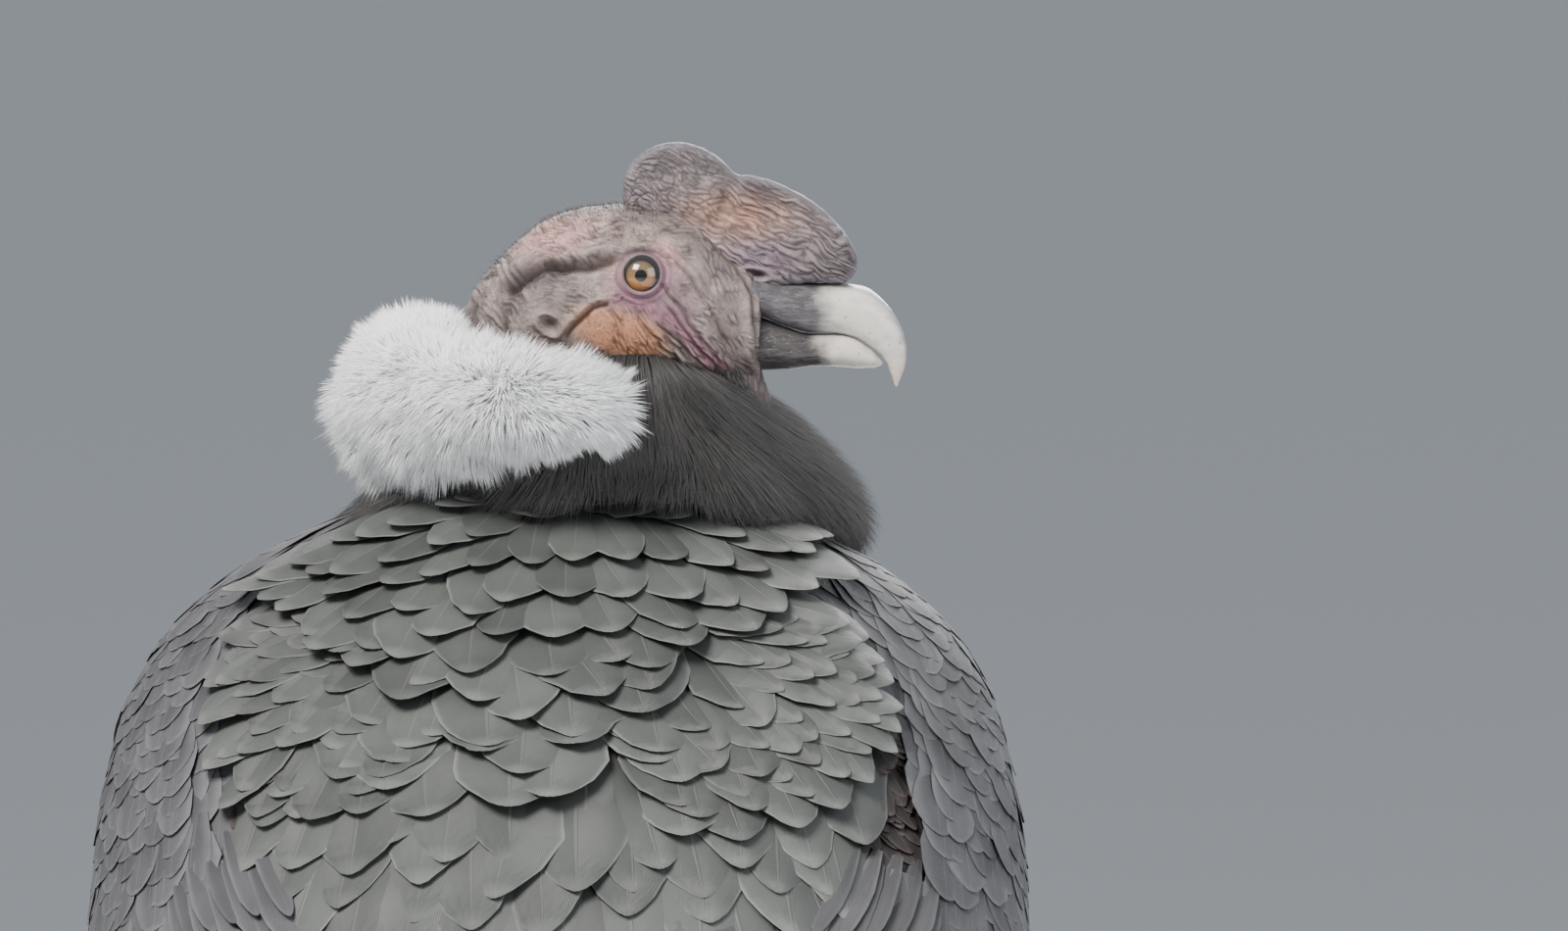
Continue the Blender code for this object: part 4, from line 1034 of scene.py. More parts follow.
TAIL_FEATHER = FeatherFinish(
    "tail_feather", "plumage_black", (0.0095, 0.0098, 0.011), (0.022, 0.023, 0.026), (0.007, 0.007, 0.008),
    edge_from=0.92, roughness=0.56, barbs=200.0,
)
FRILL_FEATHER = FeatherFinish(
    "frill_feather", "neck_black", (0.034, 0.031, 0.029), (0.070, 0.065, 0.062), (0.012, 0.011, 0.010),
    edge_from=0.60, roughness=0.75, barbs=50.0, sheen=0.05,
)
FRILL_HAIR = DownFinish("frill_hair", "neck_black", (0.022, 0.020, 0.019), (0.165, 0.154, 0.147), 0.7, 0.05)
RUFF_DOWN = DownFinish("ruff_down", "ruff_white", (0.97, 0.97, 0.97), (0.985, 0.985, 0.985), 0.9, 0.9, 0.03)
BRISTLE = DownFinish("bristle", "head_skin", (0.075, 0.062, 0.060), (0.160, 0.140, 0.135), 0.6, 0.0)
UNDER_BLACK = UnderFinish("under_black", "plumage_black", (0.010, 0.010, 0.011))
UNDER_SLATE = UnderFinish("under_slate", "feather_slate", (0.045, 0.046, 0.046))
UNDER_WING = UnderFinish("under_wing", "wing_slate", (0.052, 0.051, 0.054))
UNDER_NECK = UnderFinish("under_neck", "neck_black", (0.012, 0.012, 0.013))
UNDER_RUFF = UnderFinish("under_ruff", "ruff_white", (0.98, 0.98, 0.98), shade=0.02)
HEAD_SKIN = SkinFinish(
    "head_bare_skin", "head_skin", base=(0.245, 0.190, 0.168), pale=(0.430, 0.345, 0.305),
    orange=(0.660, 0.300, 0.165), pink=(0.700, 0.380, 0.350), purple=(0.290, 0.135, 0.185),
    # Its dark colour is partly painted shade, in the hollow under the brow fold.
    dark=(0.095, 0.072, 0.070),
)
COMB_SKIN = SkinFinish(
    "comb_bare_skin", "comb_skin", base=(0.190, 0.153, 0.160), pale=(0.285, 0.232, 0.232),
    orange=(0.500, 0.275, 0.190), pink=(0.460, 0.310, 0.300), purple=(0.225, 0.155, 0.205),
    dark=(0.150, 0.140, 0.168),
)
BILL_HORN = HornFinish("bill_horn", "bill_ivory", (0.120, 0.110, 0.116), (0.690, 0.640, 0.570), 14.0)
BILL_HORN_LOW = HornFinish("bill_horn_low", "bill_grey", (0.062, 0.054, 0.052), (0.620, 0.560, 0.490), 12.0)
EYE_WET = EyeFinish("eye_wet", "eye_amber")
LEG_SCALES = ScaleFinish(
    "leg_scale", "leg_scales", (0.195, 0.190, 0.182), (0.055, 0.052, 0.050), cells=230.0, roughness=0.55,
)
CLAW_HORN = ScaleFinish(
    "claw_dark_horn", "claw_horn", (0.040, 0.037, 0.034), (0.030, 0.028, 0.026), cells=60.0, roughness=0.32,
)


@dataclass(frozen=True)
class VaneForm:
    """How a feather's vane is cut: shares along it, its width there and its points across."""

    shares: tuple[float, ...] = (0.0, 0.22, 0.45, 0.64, 0.79, 0.90, 0.965, 1.0)
    widths: tuple[float, ...] = (0.42, 0.74, 0.96, 1.0, 0.88, 0.64, 0.38, 0.08)
    columns: int = 5
    thick: float = 0.0007
    camber: float = 0.16
    ragged: float = 0.05


LARGE_VANE = VaneForm(
    (0.0, 0.15, 0.30, 0.44, 0.56, 0.66, 0.75, 0.83, 0.90, 0.95, 0.982, 1.0),
    (0.40, 0.62, 0.82, 0.95, 1.0, 0.97, 0.88, 0.73, 0.53, 0.34, 0.18, 0.03), 7, 0.0008, 0.17, 0.045,
)
SMALL_VANE = VaneForm(
    (0.0, 0.35, 0.62, 0.82, 0.94, 1.0), (0.50, 0.92, 1.0, 0.80, 0.48, 0.10), 3, 0.0006, 0.20, 0.06,
)
COVERT_VANE = VaneForm(
    (0.0, 0.35, 0.60, 0.78, 0.90, 0.97, 1.0), (0.55, 0.95, 1.0, 0.84, 0.58, 0.30, 0.08),
    3, 0.0004, 0.10, 0.07,
)
LONG_VANE = VaneForm(
    (0.0, 0.12, 0.26, 0.42, 0.58, 0.72, 0.83, 0.91, 0.96, 0.99, 1.0),
    (0.30, 0.60, 0.86, 0.98, 1.0, 0.98, 0.90, 0.74, 0.54, 0.28, 0.06), 7, 0.0009, 0.10, 0.02,
)
NARROW_VANE = VaneForm(camber=0.30)


@dataclass
class Layout:
    """Where vanes lie on their surface: root and tip, width, height there, and lean to one side.

    Each field is an array with one value to a vane, or one number for all.
    """

    u0: Array | float
    v0: Array | float
    u1: Array | float
    v1: Array | float
    width: Array | float
    lift0: Array | float
    lift1: Array | float
    roll: Array | float

    def filled(self) -> list[Array]:
        """Every field as a column of one length."""
        return [a[:, None] for a in np.broadcast_arrays(*(np.atleast_1d(a) for a in vars(self).values()))]


class Piece:
    """One mesh of the bird: points, faces and what is kept with them, gathered until it is made."""

    hair_along = np.array((0, 0, 0, 0.5, 0.5, 0.5, 1.0))
    hair_thick = np.array((1.0, 0.72))

    def __init__(self, name: str) -> None:
        """Starts an empty mesh.

        Args:
            name: The name of the mesh and its object.
        """
        self.name = name
        self.points: list[Array] = []
        self.normals: list[Array] = []
        self.faces: list[Array] = []
        self.maps: list[Array] = []
        self.values: dict[str, list[Array]] = {}
        self.count = 0

    def add(self, points: Array, faces: Sequence[Array], spread: Array, normals: Array | None = None,
            **values: Array) -> Piece:
        """Adds one body of points.

        Args:
            points: The points, with x, y and z on the last axis.
            faces: Arrays of corner numbers, each with rows of one length.
            spread: Where each point lies on the bake map.
            normals: The way each point faces, or None to let the faces say.
            values: Numbers kept with the points, by name, in any shape that fits them.

        Returns:
            The piece.
        """
        shape = points.shape[:-1]
        points = points.reshape(-1, 3)
        self.points.append(points)
        self.faces += [f + self.count for f in faces]
        self.maps.append(spread.reshape(-1, 2))
        self.normals.append(np.zeros_like(points) if normals is None else normals.reshape(-1, 3))
        for name, value in values.items():
            self.values.setdefault(name, []).append(np.broadcast_to(value, shape).ravel())
        self.count += len(points)
        return self

    def vanes(self, surface: Surface, lay: Layout, form: VaneForm, rng: np.random.Generator) -> Piece:
        """Adds vanes that follow a surface from root to tip.

        Args:
            surface: What they lie on.
            lay: Where they lie.
            form: How they are cut.
            rng: Draws each one's small differences.

        Returns:
            The piece.
        """
        u0, v0, u1, v1, width, lift0, lift1, roll = lay.filled()
        t = np.array(form.shares)
        total, rings, loop = len(u0), len(t), 2 * form.columns
        u, v = blend(u0, u1, t), blend(v0, v1, t)
        middle = surface.points(u, v, blend(lift0, lift1, t ** 0.8))
        out = surface.normals(u, v)
        ahead = np.gradient(middle, axis=1)
        across = unit(np.cross(ahead, out))
        up = unit(np.cross(across, ahead))
        up *= np.where(np.sum(up * out, -1, keepdims=True) < 0, -1.0, 1.0)
        middle, across, up = (a[:, :, None] for a in (middle, across, up))
        roll = roll[..., None]
        c = np.linspace(-1, 1, form.columns)
        jitter = 1 + form.ragged * rng.standard_normal((total, rings, 2))
        half = width[..., None] * np.array(form.widths)[None, :, None] / 2
        half = half * np.where(c < 0, jitter[..., :1], jitter[..., 1:])
        rise = -form.camber * half * c ** 2 + roll * half * c
        curl = 0.06 * rng.standard_normal((total, 1, 1)) * half * t[None, :, None] ** 3
        top = middle + across * (half * c)[..., None] + up * (rise + curl)[..., None]
        low = top - up * (form.thick * (1 - 0.55 * t))[None, :, None, None]
        slope = (2 * form.camber * c - roll)[..., None]
        facing = unit(up + across * slope)
        points = np.concatenate((top, low[:, :, ::-1]), axis=2)
        facing = np.concatenate((facing, -facing[:, :, ::-1]), axis=2)
        base = np.arange(total)[:, None] * rings * loop
        side = np.arange(loop)
        at = base[..., None] + np.arange(rings - 1)[:, None] * loop
        following = (side + 1) % loop
        quads = np.stack((at + side, at + following, at + loop + following, at + loop + side), -1)
        caps = np.concatenate((base + side[::-1], base + (rings - 1) * loop + side))
        c = np.concatenate((c, c[::-1]))
        along = t[:, None]
        spot = surface.unwrap(u0[:, 0], v0[:, 0])[:, None, None]
        spread = spot + np.stack(np.broadcast_arrays(c * 0.5, along - 0.5), -1) * PATCH
        tone = rng.random(total)[:, None, None]
        faces = [quads.reshape(-1, 4), caps]
        return self.add(points, faces, spread, facing, along=along, across=c, tone=tone)

    def spikes(self, root: Array, bend: Array, tip: Array, radius: Array, spot: Array,
               rng: np.random.Generator, shade: Array | float = 0.5) -> Piece:
        """Adds fine tapered hairs of three sides.

        Args:
            root: Where each starts.
            bend: What each bends towards on its way.
            tip: Where each ends.
            radius: How thick each is at its root.
            spot: Where each lies on the bake map.
            rng: Draws their turns and tones.
            shade: How dark each one's neighbourhood is, from 0 to 1.

        Returns:
            The piece.
        """
        total = len(root)
        t = np.array((0.0, 0.5))[:, None]
        middle = root[:, None] * (1 - t) ** 2 + bend[:, None] * 2 * t * (1 - t) + tip[:, None] * t ** 2
        ahead = unit(tip - root)
        guide = np.where(np.abs(ahead[:, 2:]) > 0.8, np.array((1.0, 0, 0)), np.array((0, 0, 1.0)))
        side = unit(np.cross(ahead, guide))
        up = np.cross(side, ahead)
        corner = np.arange(3)
        turn = rng.random(total)[:, None] * FULL_TURN + corner * FULL_TURN / 3
        ring = side[:, None] * np.cos(turn)[..., None] + up[:, None] * np.sin(turn)[..., None]
        thick = radius[:, None] * self.hair_thick
        rings = middle[:, :, None, :] + ring[:, None] * thick[..., None, None]
        points = np.concatenate((rings.reshape(total, 6, 3), tip[:, None]), axis=1)
        base = np.arange(total)[:, None] * 7
        following = (corner + 1) % 3
        quads = np.stack((base + corner, base + following, base + 3 + following, base + 3 + corner), -1)
        tips = np.stack((base + 3 + corner, base + 3 + following, base + 6 + corner * 0), -1)
        faces = [quads.reshape(-1, 4), tips.reshape(-1, 3), base + corner[::-1]]
        star = np.stack((np.cos(corner * FULL_TURN / 3), np.sin(corner * FULL_TURN / 3)), -1)
        spread = spot[:, None] + np.concatenate((star * 0.5, star * 0.25, [[0, 0]])) * PATCH
        tone = (0.5 * rng.random(total) + shade * 0.5)[:, None]
        return self.add(points, faces, spread, along=self.hair_along, tone=tone)

    def skin(self, points: Array, start: Array | None = None, end: Array | None = None,
             spread: Array | None = None, **values: Array) -> Piece:
        """Adds a closed skin over rings of equal count.

        Args:
            points: Rings by points by three.
            start: A point that closes the first ring, or None for its middle.
            end: A point that closes the last ring, or None for its middle.
            spread: Where each point lies on the bake map, or None for an even one.
            values: Numbers kept with the points, by name, rings by points.

        Returns:
            The piece.
        """
        rings, count = points.shape[:2]
        start = points[0].mean(0) if start is None else start
        end = points[-1].mean(0) if end is None else end
        at = np.arange(rings - 1)[:, None] * count
        side = np.arange(count)
        following = (side + 1) % count
        quads = np.stack((at + side, at + following, at + count + following, at + count + side), -1)
        quads = quads.reshape(-1, 4)
        last, centre = (rings - 1) * count, np.full(count, rings * count)
        caps = np.concatenate((
            np.stack((following, side, centre), -1),
            np.stack((last + side, last + following, centre + 1), -1),
        ))
        if spread is None:
            spread = on_map(np.linspace(0, 1, count), np.linspace(0, 1, rings)[:, None])
        spread = spread.reshape(-1, 2)
        spread = np.concatenate((spread, spread[:1], spread[-1:]))
        kept = {}
        for name, value in values.items():
            value = np.broadcast_to(value, (rings, count))
            kept[name] = np.concatenate((value.ravel(), [value[0].mean(), value[-1].mean()]))
        body = np.concatenate((points.reshape(-1, 3), [start, end]))
        face = body[quads[len(quads) // 2]]
        normal = np.cross(face[1] - face[0], face[2] - face[0])
        if normal @ (face.mean(0) - points[rings // 2].mean(0)) < 0:
            quads, caps = quads[:, ::-1], caps[:, ::-1]
        return self.add(body, [quads, caps], spread, **kept)

    def make(self, finish: Finish, nodes: Sequence[str] = ()) -> None:
        """Makes the object, dresses it and lets it ride on the bird.

        Args:
            finish: The finish that gives its material.
            nodes: The solids that it is shown in place of.
        """
        mesh = bpy.data.meshes.new(self.name)
        points = np.concatenate(self.points)
        corners = np.concatenate([f.ravel() for f in self.faces])
        sizes = np.concatenate([np.full(len(f), f.shape[1]) for f in self.faces])
        starts = np.cumsum(sizes) - sizes
        mesh.vertices.add(len(points))
        mesh.vertices.foreach_set("co", points.astype(np.float32).ravel())
        mesh.loops.add(len(corners))
        mesh.loops.foreach_set("vertex_index", corners.astype(np.int32))
        mesh.polygons.add(len(sizes))
        mesh.polygons.foreach_set("loop_start", starts.astype(np.int32))
        mesh.update(calc_edges=True)
        layer = mesh.uv_layers.new(name="OFBake")
        layer.data.foreach_set("uv", np.concatenate(self.maps)[corners].astype(np.float32).ravel())
        for name, value in self.values.items():
            kept = mesh.attributes.new(name, "FLOAT", "POINT")
            kept.data.foreach_set("value", np.concatenate(value).astype(np.float32))
        mesh.polygons.foreach_set("use_smooth", np.ones(len(sizes), bool))
        normals = np.concatenate(self.normals)
        if normals.any():
            mesh.normals_split_custom_set_from_vertices(normals.astype(np.float32))
        mesh.materials.append(finish.made())
        made = bpy.data.objects.new(self.name, mesh)
        bpy.context.scene.collection.objects.link(made)
        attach(made, "root")
        if nodes:
            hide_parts(*nodes)
        log.info("%s: %d points, %d faces", self.name, len(points), len(sizes))


def grid_normals(points: Array) -> Array:
    """The way out of a grid of closed rings.

    Args:
        points: Rings by points by three.

    Returns:
        A direction for each point.
    """
    down = np.gradient(points, axis=0)
    across = np.roll(points, -1, axis=1) - np.roll(points, 1, axis=1)
    out = unit(np.cross(down, across))
    inside = points - points.mean(axis=1, keepdims=True)
    return out * np.where(np.sum(out * inside) < 0, -1.0, 1.0)


def rows_of_vanes(rows: Sequence[float], length: Callable[[float], float], spacing: Callable[[float], float],
                  edges: Callable[[float], tuple[float, float]], half_width: Callable[[float], float],
                  rng: np.random.Generator, fan: Callable[[Array], Array],
                  jitter: float = 0.16) -> tuple[Array, ...]:
    """Places vanes in staggered rows round the body.

    Args:
        rows: The place of the tips of each row.
        length: How long a vane is in a row.
        spacing: How far its neighbours are.
        edges: The first and last degrees that a row covers at its tips.
        half_width: How far the surface is from the axis, to turn degrees into lengths.
        rng: Draws small differences.
        fan: Gives the degrees at the root from those at the tip.
        jitter: How uneven the places are, as a share of the spacing.

    Returns:
        Arrays of u0, v0, u1, v1 and the spacing.
    """
    found: list[Array] = []
    for number, s1 in enumerate(rows):
        first, last = edges(s1)
        arc = math.radians(abs(last - first)) * half_width(s1)
        count = max(2, int(round(arc / spacing(s1))))
        share = (np.arange(count) + 0.25 + 0.5 * (number % 2)) / count
        share = share + rng.normal(0, jitter / count, count)
        v1 = blend(first, last, share)
        u1 = s1 + rng.normal(0, jitter * 0.05 * length(s1), count)
        u0 = u1 - length(s1) * rng.uniform(0.94, 1.06, count)
        found.append(np.stack((u0, fan(v1), u1, v1, np.full(count, spacing(s1)))))
    return tuple(np.concatenate(found, axis=1))


def spaced(first: float, last: float, start: float, finish: float) -> list[float]:
    """Places whose steps grow evenly.

    Args:
        first: The first place.
        last: Where they end, or one step past it.
        start: The first step.
        finish: The last step.

    Returns:
        The places.
    """
    places = [first]
    while places[-1] < last:
        places.append(places[-1] + blend(start, finish, (places[-1] - first) / (last - first)))
    return places


@dataclass
class Trunk:
    """Breast, belly and flanks under small black feathers."""

    coat: float = 0.004
    length: float = 0.046
    spacing: float = 0.0165
    width: float = 0.0250
    lift: float = 0.0072
    breast: tuple[float, float] = (72.0, 288.0)
    rows: tuple[float, float, float, float] = (-0.012, 0.485, 0.0115, 0.0155)
    hip_turns: tuple[float, ...] = (108, 116, 124, 132, 140, 148, 156, 164, 172, 178)
    hip_places: tuple[float, ...] = (
        0.362, 0.342, 0.324, 0.316, 0.314, 0.316, 0.324, 0.336, 0.356, 0.372,
    )
    fringe: tuple[tuple[float, float], ...] = ((0.030, 0.020), (0.017, 0.013), (0.004, 0.007))
    fringe_count: int = 34
    fringe_length: float = 0.072
    fringe_width: float = 0.0235
    seed: int = 11
    surface = BodySurface(TRUNK)

    def build_skin(self) -> None:
        """The surface under the feathers."""
        s = np.linspace(self.surface.low, self.surface.high, 90)[:, None]
        Piece("trunk_skin").skin(self.surface.points(s, turns(96), -self.coat)).make(UNDER_BLACK, ["torso"])

    def build_feathers(self) -> None:
        """The feathers of the breast and belly, which hang towards the tail, with the fringe at the hips."""
        rng = np.random.default_rng(self.seed)
        u0, v0, u1, v1, _ = rows_of_vanes(
            spaced(*self.rows), lambda s: self.length, lambda s: self.spacing, lambda s: self.breast,
            lambda s: float(self.surface.track.first(s)) * 0.98, rng, lambda v: 180 + (v - 180) * 0.97,
        )
        count = len(u0)
        lay = Layout(
            u0, v0, u1, v1, self.width * rng.uniform(0.9, 1.12, count), -self.coat,
            self.lift + rng.normal(0, 0.0008, count), rng.normal(0, 0.05, count),
        )
        piece = Piece("breast_feathers").vanes(self.surface, lay, SMALL_VANE, rng)
        for past, lift in self.fringe:
            for side in Side:
                self.add_fringe(piece, side, past, lift, rng)
        piece.make(BODY_FEATHER)

    def add_fringe(self, piece: Piece, side: Side, past: float, lift: float,
                   rng: np.random.Generator) -> None:
        """Adds a row of longer flank feathers that hang over the top of a thigh.

        Args:
            piece: What they are added to.
            side: Which thigh it is.
            past: How far they reach past the hip's line.
            lift: How high their tips stand off.
            rng: Draws small differences.
        """
        count = self.fringe_count
        turn = np.linspace(self.hip_turns[0], 176, count) + rng.normal(0, 1.2, count)
        s1 = np.interp(turn, self.hip_turns, self.hip_places) + past + rng.normal(0, 0.003, count)
        v1 = turn if side is Side.RIGHT else 360 - turn
        piece.vanes(self.surface, Layout(
            s1 - self.fringe_length, v1, s1, v1, self.fringe_width * rng.uniform(0.85, 1.12, count), -0.001,
            lift + rng.normal(0, 0.0012, count), rng.normal(0, 0.08, count),
        ), SMALL_VANE, rng)


@dataclass(frozen=True)
class FeatherGroup:
    """A group of cape feathers, set out by guide lines through the tips of some of its rows.

    Each guide has places down the axis with degrees from the spine, and turns has the degrees that the
    feathers at its two ends are turned outwards. Length and lift go from the first guide to the last, and
    spacing goes from the most turned feathers to the straight ones.
    """

    guides: tuple[tuple[tuple[float, float], ...], ...]
    rows: int
    length: tuple[float, float]
    turns: tuple[tuple[float, float], ...]
    spacing: tuple[float, float]
    lift: tuple[float, float]
    wide: float = 1.42
    fanned: bool = False


CENTRE_GROUP = FeatherGroup(
    (
        ((0.026, -51), (0.000, -22), (-0.028, 0), (-0.022, 22), (0.008, 51)),
        ((0.050, -39), (0.047, -15), (0.040, 2), (0.038, 16), (0.044, 36)),
        ((0.070, -29), (0.083, -16), (0.095, -5), (0.085, 7), (0.064, 20)),
        ((0.104, -17), (0.128, -9), (0.163, -3), (0.121, 3), (0.099, 12)),
    ),
    9, (0.056, 0.080), ((-58, 58), (-42, 42), (-24, 24), (-12, 12)), (0.0160, 0.0325), (0.0110, 0.0050),
)
SIDE_GROUP_LEFT = FeatherGroup(
    (
        ((0.044, -30), (0.062, -31), (0.088, -29), (0.108, -22), (0.116, -12)),
        ((0.040, -41), (0.070, -42), (0.100, -40), (0.124, -29), (0.130, -16)),
        ((0.034, -47), (0.058, -51), (0.086, -50), (0.112, -48), (0.138, -42), (0.150, -28), (0.152, -12)),
    ),
    7, (0.056, 0.070), ((-72, 0), (-76, 0), (-80, 2)), (0.0105, 0.0285), (0.0012, 0.0026), 1.45, True,
)
SIDE_GROUP_RIGHT = FeatherGroup(
    (
        ((0.044, 26), (0.062, 27), (0.090, 25), (0.112, 17), (0.122, 9)),
        ((0.042, 36), (0.074, 37), (0.108, 32), (0.136, 22), (0.144, 9)),
        ((0.046, 43), (0.078, 47), (0.110, 45), (0.136, 38), (0.160, 27), (0.166, 10)),
    ),
    7, (0.056, 0.072), ((72, 0), (76, 0), (80, 0)), (0.0100, 0.0290), (0.0014, 0.0040), 1.45, True,
)
LOWER_GROUP = FeatherGroup(
    (
        (
            (0.140, -46), (0.152, -32), (0.172, -17), (0.176, -6), (0.174, 6), (0.180, 18), (0.176, 27),
            (0.150, 42),
        ),
        (
            (0.188, -42), (0.196, -28), (0.205, -15), (0.214, -8), (0.208, 5), (0.206, 18), (0.204, 29),
            (0.190, 41),
        ),
        ((0.244, -35), (0.248, -24), (0.255, -12), (0.262, 0), (0.256, 12), (0.250, 24), (0.244, 35)),
        ((0.318, -22), (0.324, -10), (0.330, 0), (0.324, 10), (0.316, 22)),
        ((0.410, -13), (0.416, -6), (0.420, 0), (0.416, 6), (0.410, 13)),
    ),
    10, (0.098, 0.102), ((-12, 12), (-10, 10), (-8, 8), (-5, 5), (-2, 2)), (0.0290, 0.0310), (0.0004, 0.0004),
)


@dataclass
class Cape:
    """The slate cape: a centre group over two side groups that fan outwards, and long feathers below."""

    root_lift: float = -0.0112
    least_width: float = 0.0190
    seed: int = 21
    surface = BodySurface(DRESSED)
    edge = Track(MANTLE_EDGE)
    groups: tuple[FeatherGroup, ...] = (LOWER_GROUP, SIDE_GROUP_LEFT, SIDE_GROUP_RIGHT, CENTRE_GROUP)

    def build_skin(self) -> None:
        """The bed of the cape's feathers."""
        s = np.linspace(-0.026, 0.380, 60)[:, None]
        outer, inner = np.linspace(-1, 1, 61), np.linspace(1, -1, 31)
        wide = self.edge(s[:, 0]) + 7.0
        top = self.surface.points(s, wide * outer, -0.0125 - 0.003 * np.abs(outer) ** 6)
        low = self.surface.points(s, wide * inner, -0.030 + 0.014 * inner ** 2)
        Piece("cape_bed").skin(np.concatenate((top, low), axis=1)).make(UNDER_SLATE, ["mantle"])

    def row(self, group: FeatherGroup, share: float, rng: np.random.Generator) -> Array:
        """Places the feathers of one row of a group.

        Args:
            group: The group.
            share: Where the row lies, from the first guide to the last.
            rng: Draws small differences.

        Returns:
            Columns of u0, v0, u1, v1, width, lift0, lift1 and roll.
        """
        place = share * (len(group.guides) - 1)
        first = min(int(place), len(group.guides) - 2)
        part = place - first
        fine = np.linspace(0, 1, 120)
        lines = [
            Track([(i / (len(guide) - 1), *spot) for i, spot in enumerate(guide)])(fine)
            for guide in group.guides[first:first + 2]
        ]
        line_s, line_v = (lines[0] * (1 - part) + lines[1] * part).T
        start, stop = (blend(a, b, part) for a, b in zip(*group.turns[first:first + 2]))
        turned = blend(start, stop, fine)
        flat = np.stack((line_s, np.radians(line_v) * self.surface.track.first(line_s)), -1)
        run = np.concatenate(([0.0], np.cumsum(np.linalg.norm(np.diff(flat, axis=0), axis=1))))
        steep = np.clip(np.abs(turned) / 80, 0, 1) if group.fanned else np.full(len(fine), 1 - share)
        step = blend(group.spacing[1], group.spacing[0], steep)
        density = np.concatenate(([0.0], np.cumsum(np.diff(run) / step[1:])))
        count = max(2, int(round(density[-1])))
        uneven = rng.uniform(-0.5, 0.5) * 0.8 + rng.normal(0, 0.13, count)
        at = np.interp((np.arange(count) + 0.5 + uneven) / count * density[-1], density, fine)
        u1 = np.interp(at, fine, line_s) + rng.normal(0, 0.0022, count)
        v1 = np.interp(at, fine, line_v)
        turn = np.radians(np.interp(at, fine, turned) + rng.normal(0, 5.0, count))
        length = blend(*group.length, share) * rng.uniform(0.92, 1.08, count)
        u0 = np.maximum(u1 - length * np.cos(turn), self.surface.low)
        v0 = v1 - np.degrees(length * np.sin(turn) / self.surface.track.first(u1))
        width = np.maximum(np.interp(at, fine, step), self.least_width) * group.wide
        width = width * rng.uniform(0.92, 1.10, count)
        lift = blend(*group.lift, share ** 0.6) + rng.normal(0, 0.0006, count)
        roll = np.sin(turn) * 0.10 + rng.normal(0, 0.07, count)
        return np.stack((u0, v0, u1, v1, width, np.full(count, self.root_lift), lift, roll))

    def build_feathers(self) -> None:
        """All groups, as one piece."""
        rng = np.random.default_rng(self.seed)
        piece = Piece("cape_feathers")
        for group in self.groups:
            rows = [self.row(group, i / (group.rows - 1), rng) for i in range(group.rows)]
            piece.vanes(self.surface, Layout(*np.concatenate(rows, axis=1)), LARGE_VANE, rng)
        piece.make(CAPE_FEATHER)


@dataclass(frozen=True)
class Tier:
    """A row of long wing feathers, from the first at the back to the last at the front.

    Each place has the root's place down the axis and degrees from the spine, then the tip's.
    """

    name: str
    first: tuple[float, float, float, float]
    last: tuple[float, float, float, float]
    count: int
    width: float
    root_depth: float
    tip_depth: float
    finish: Finish = PANEL_FEATHER


WING_TIERS = (
    Tier("greater", (0.170, 61, 0.335, 46), (0.190, 104, 0.345, 101), 15, 0.030, 0.0090, 0.0030),
    Tier("secondary", (0.300, 38, 0.510, 12), (0.330, 100, 0.600, 78), 18, 0.040, 0.0150, 0.0045),
    Tier(
        "primary", (0.425, 30, 0.730, 12), (0.425, 80, 0.860, 48), 10, 0.036, 0.0200, 0.0050, FLIGHT_FEATHER,
    ),
)


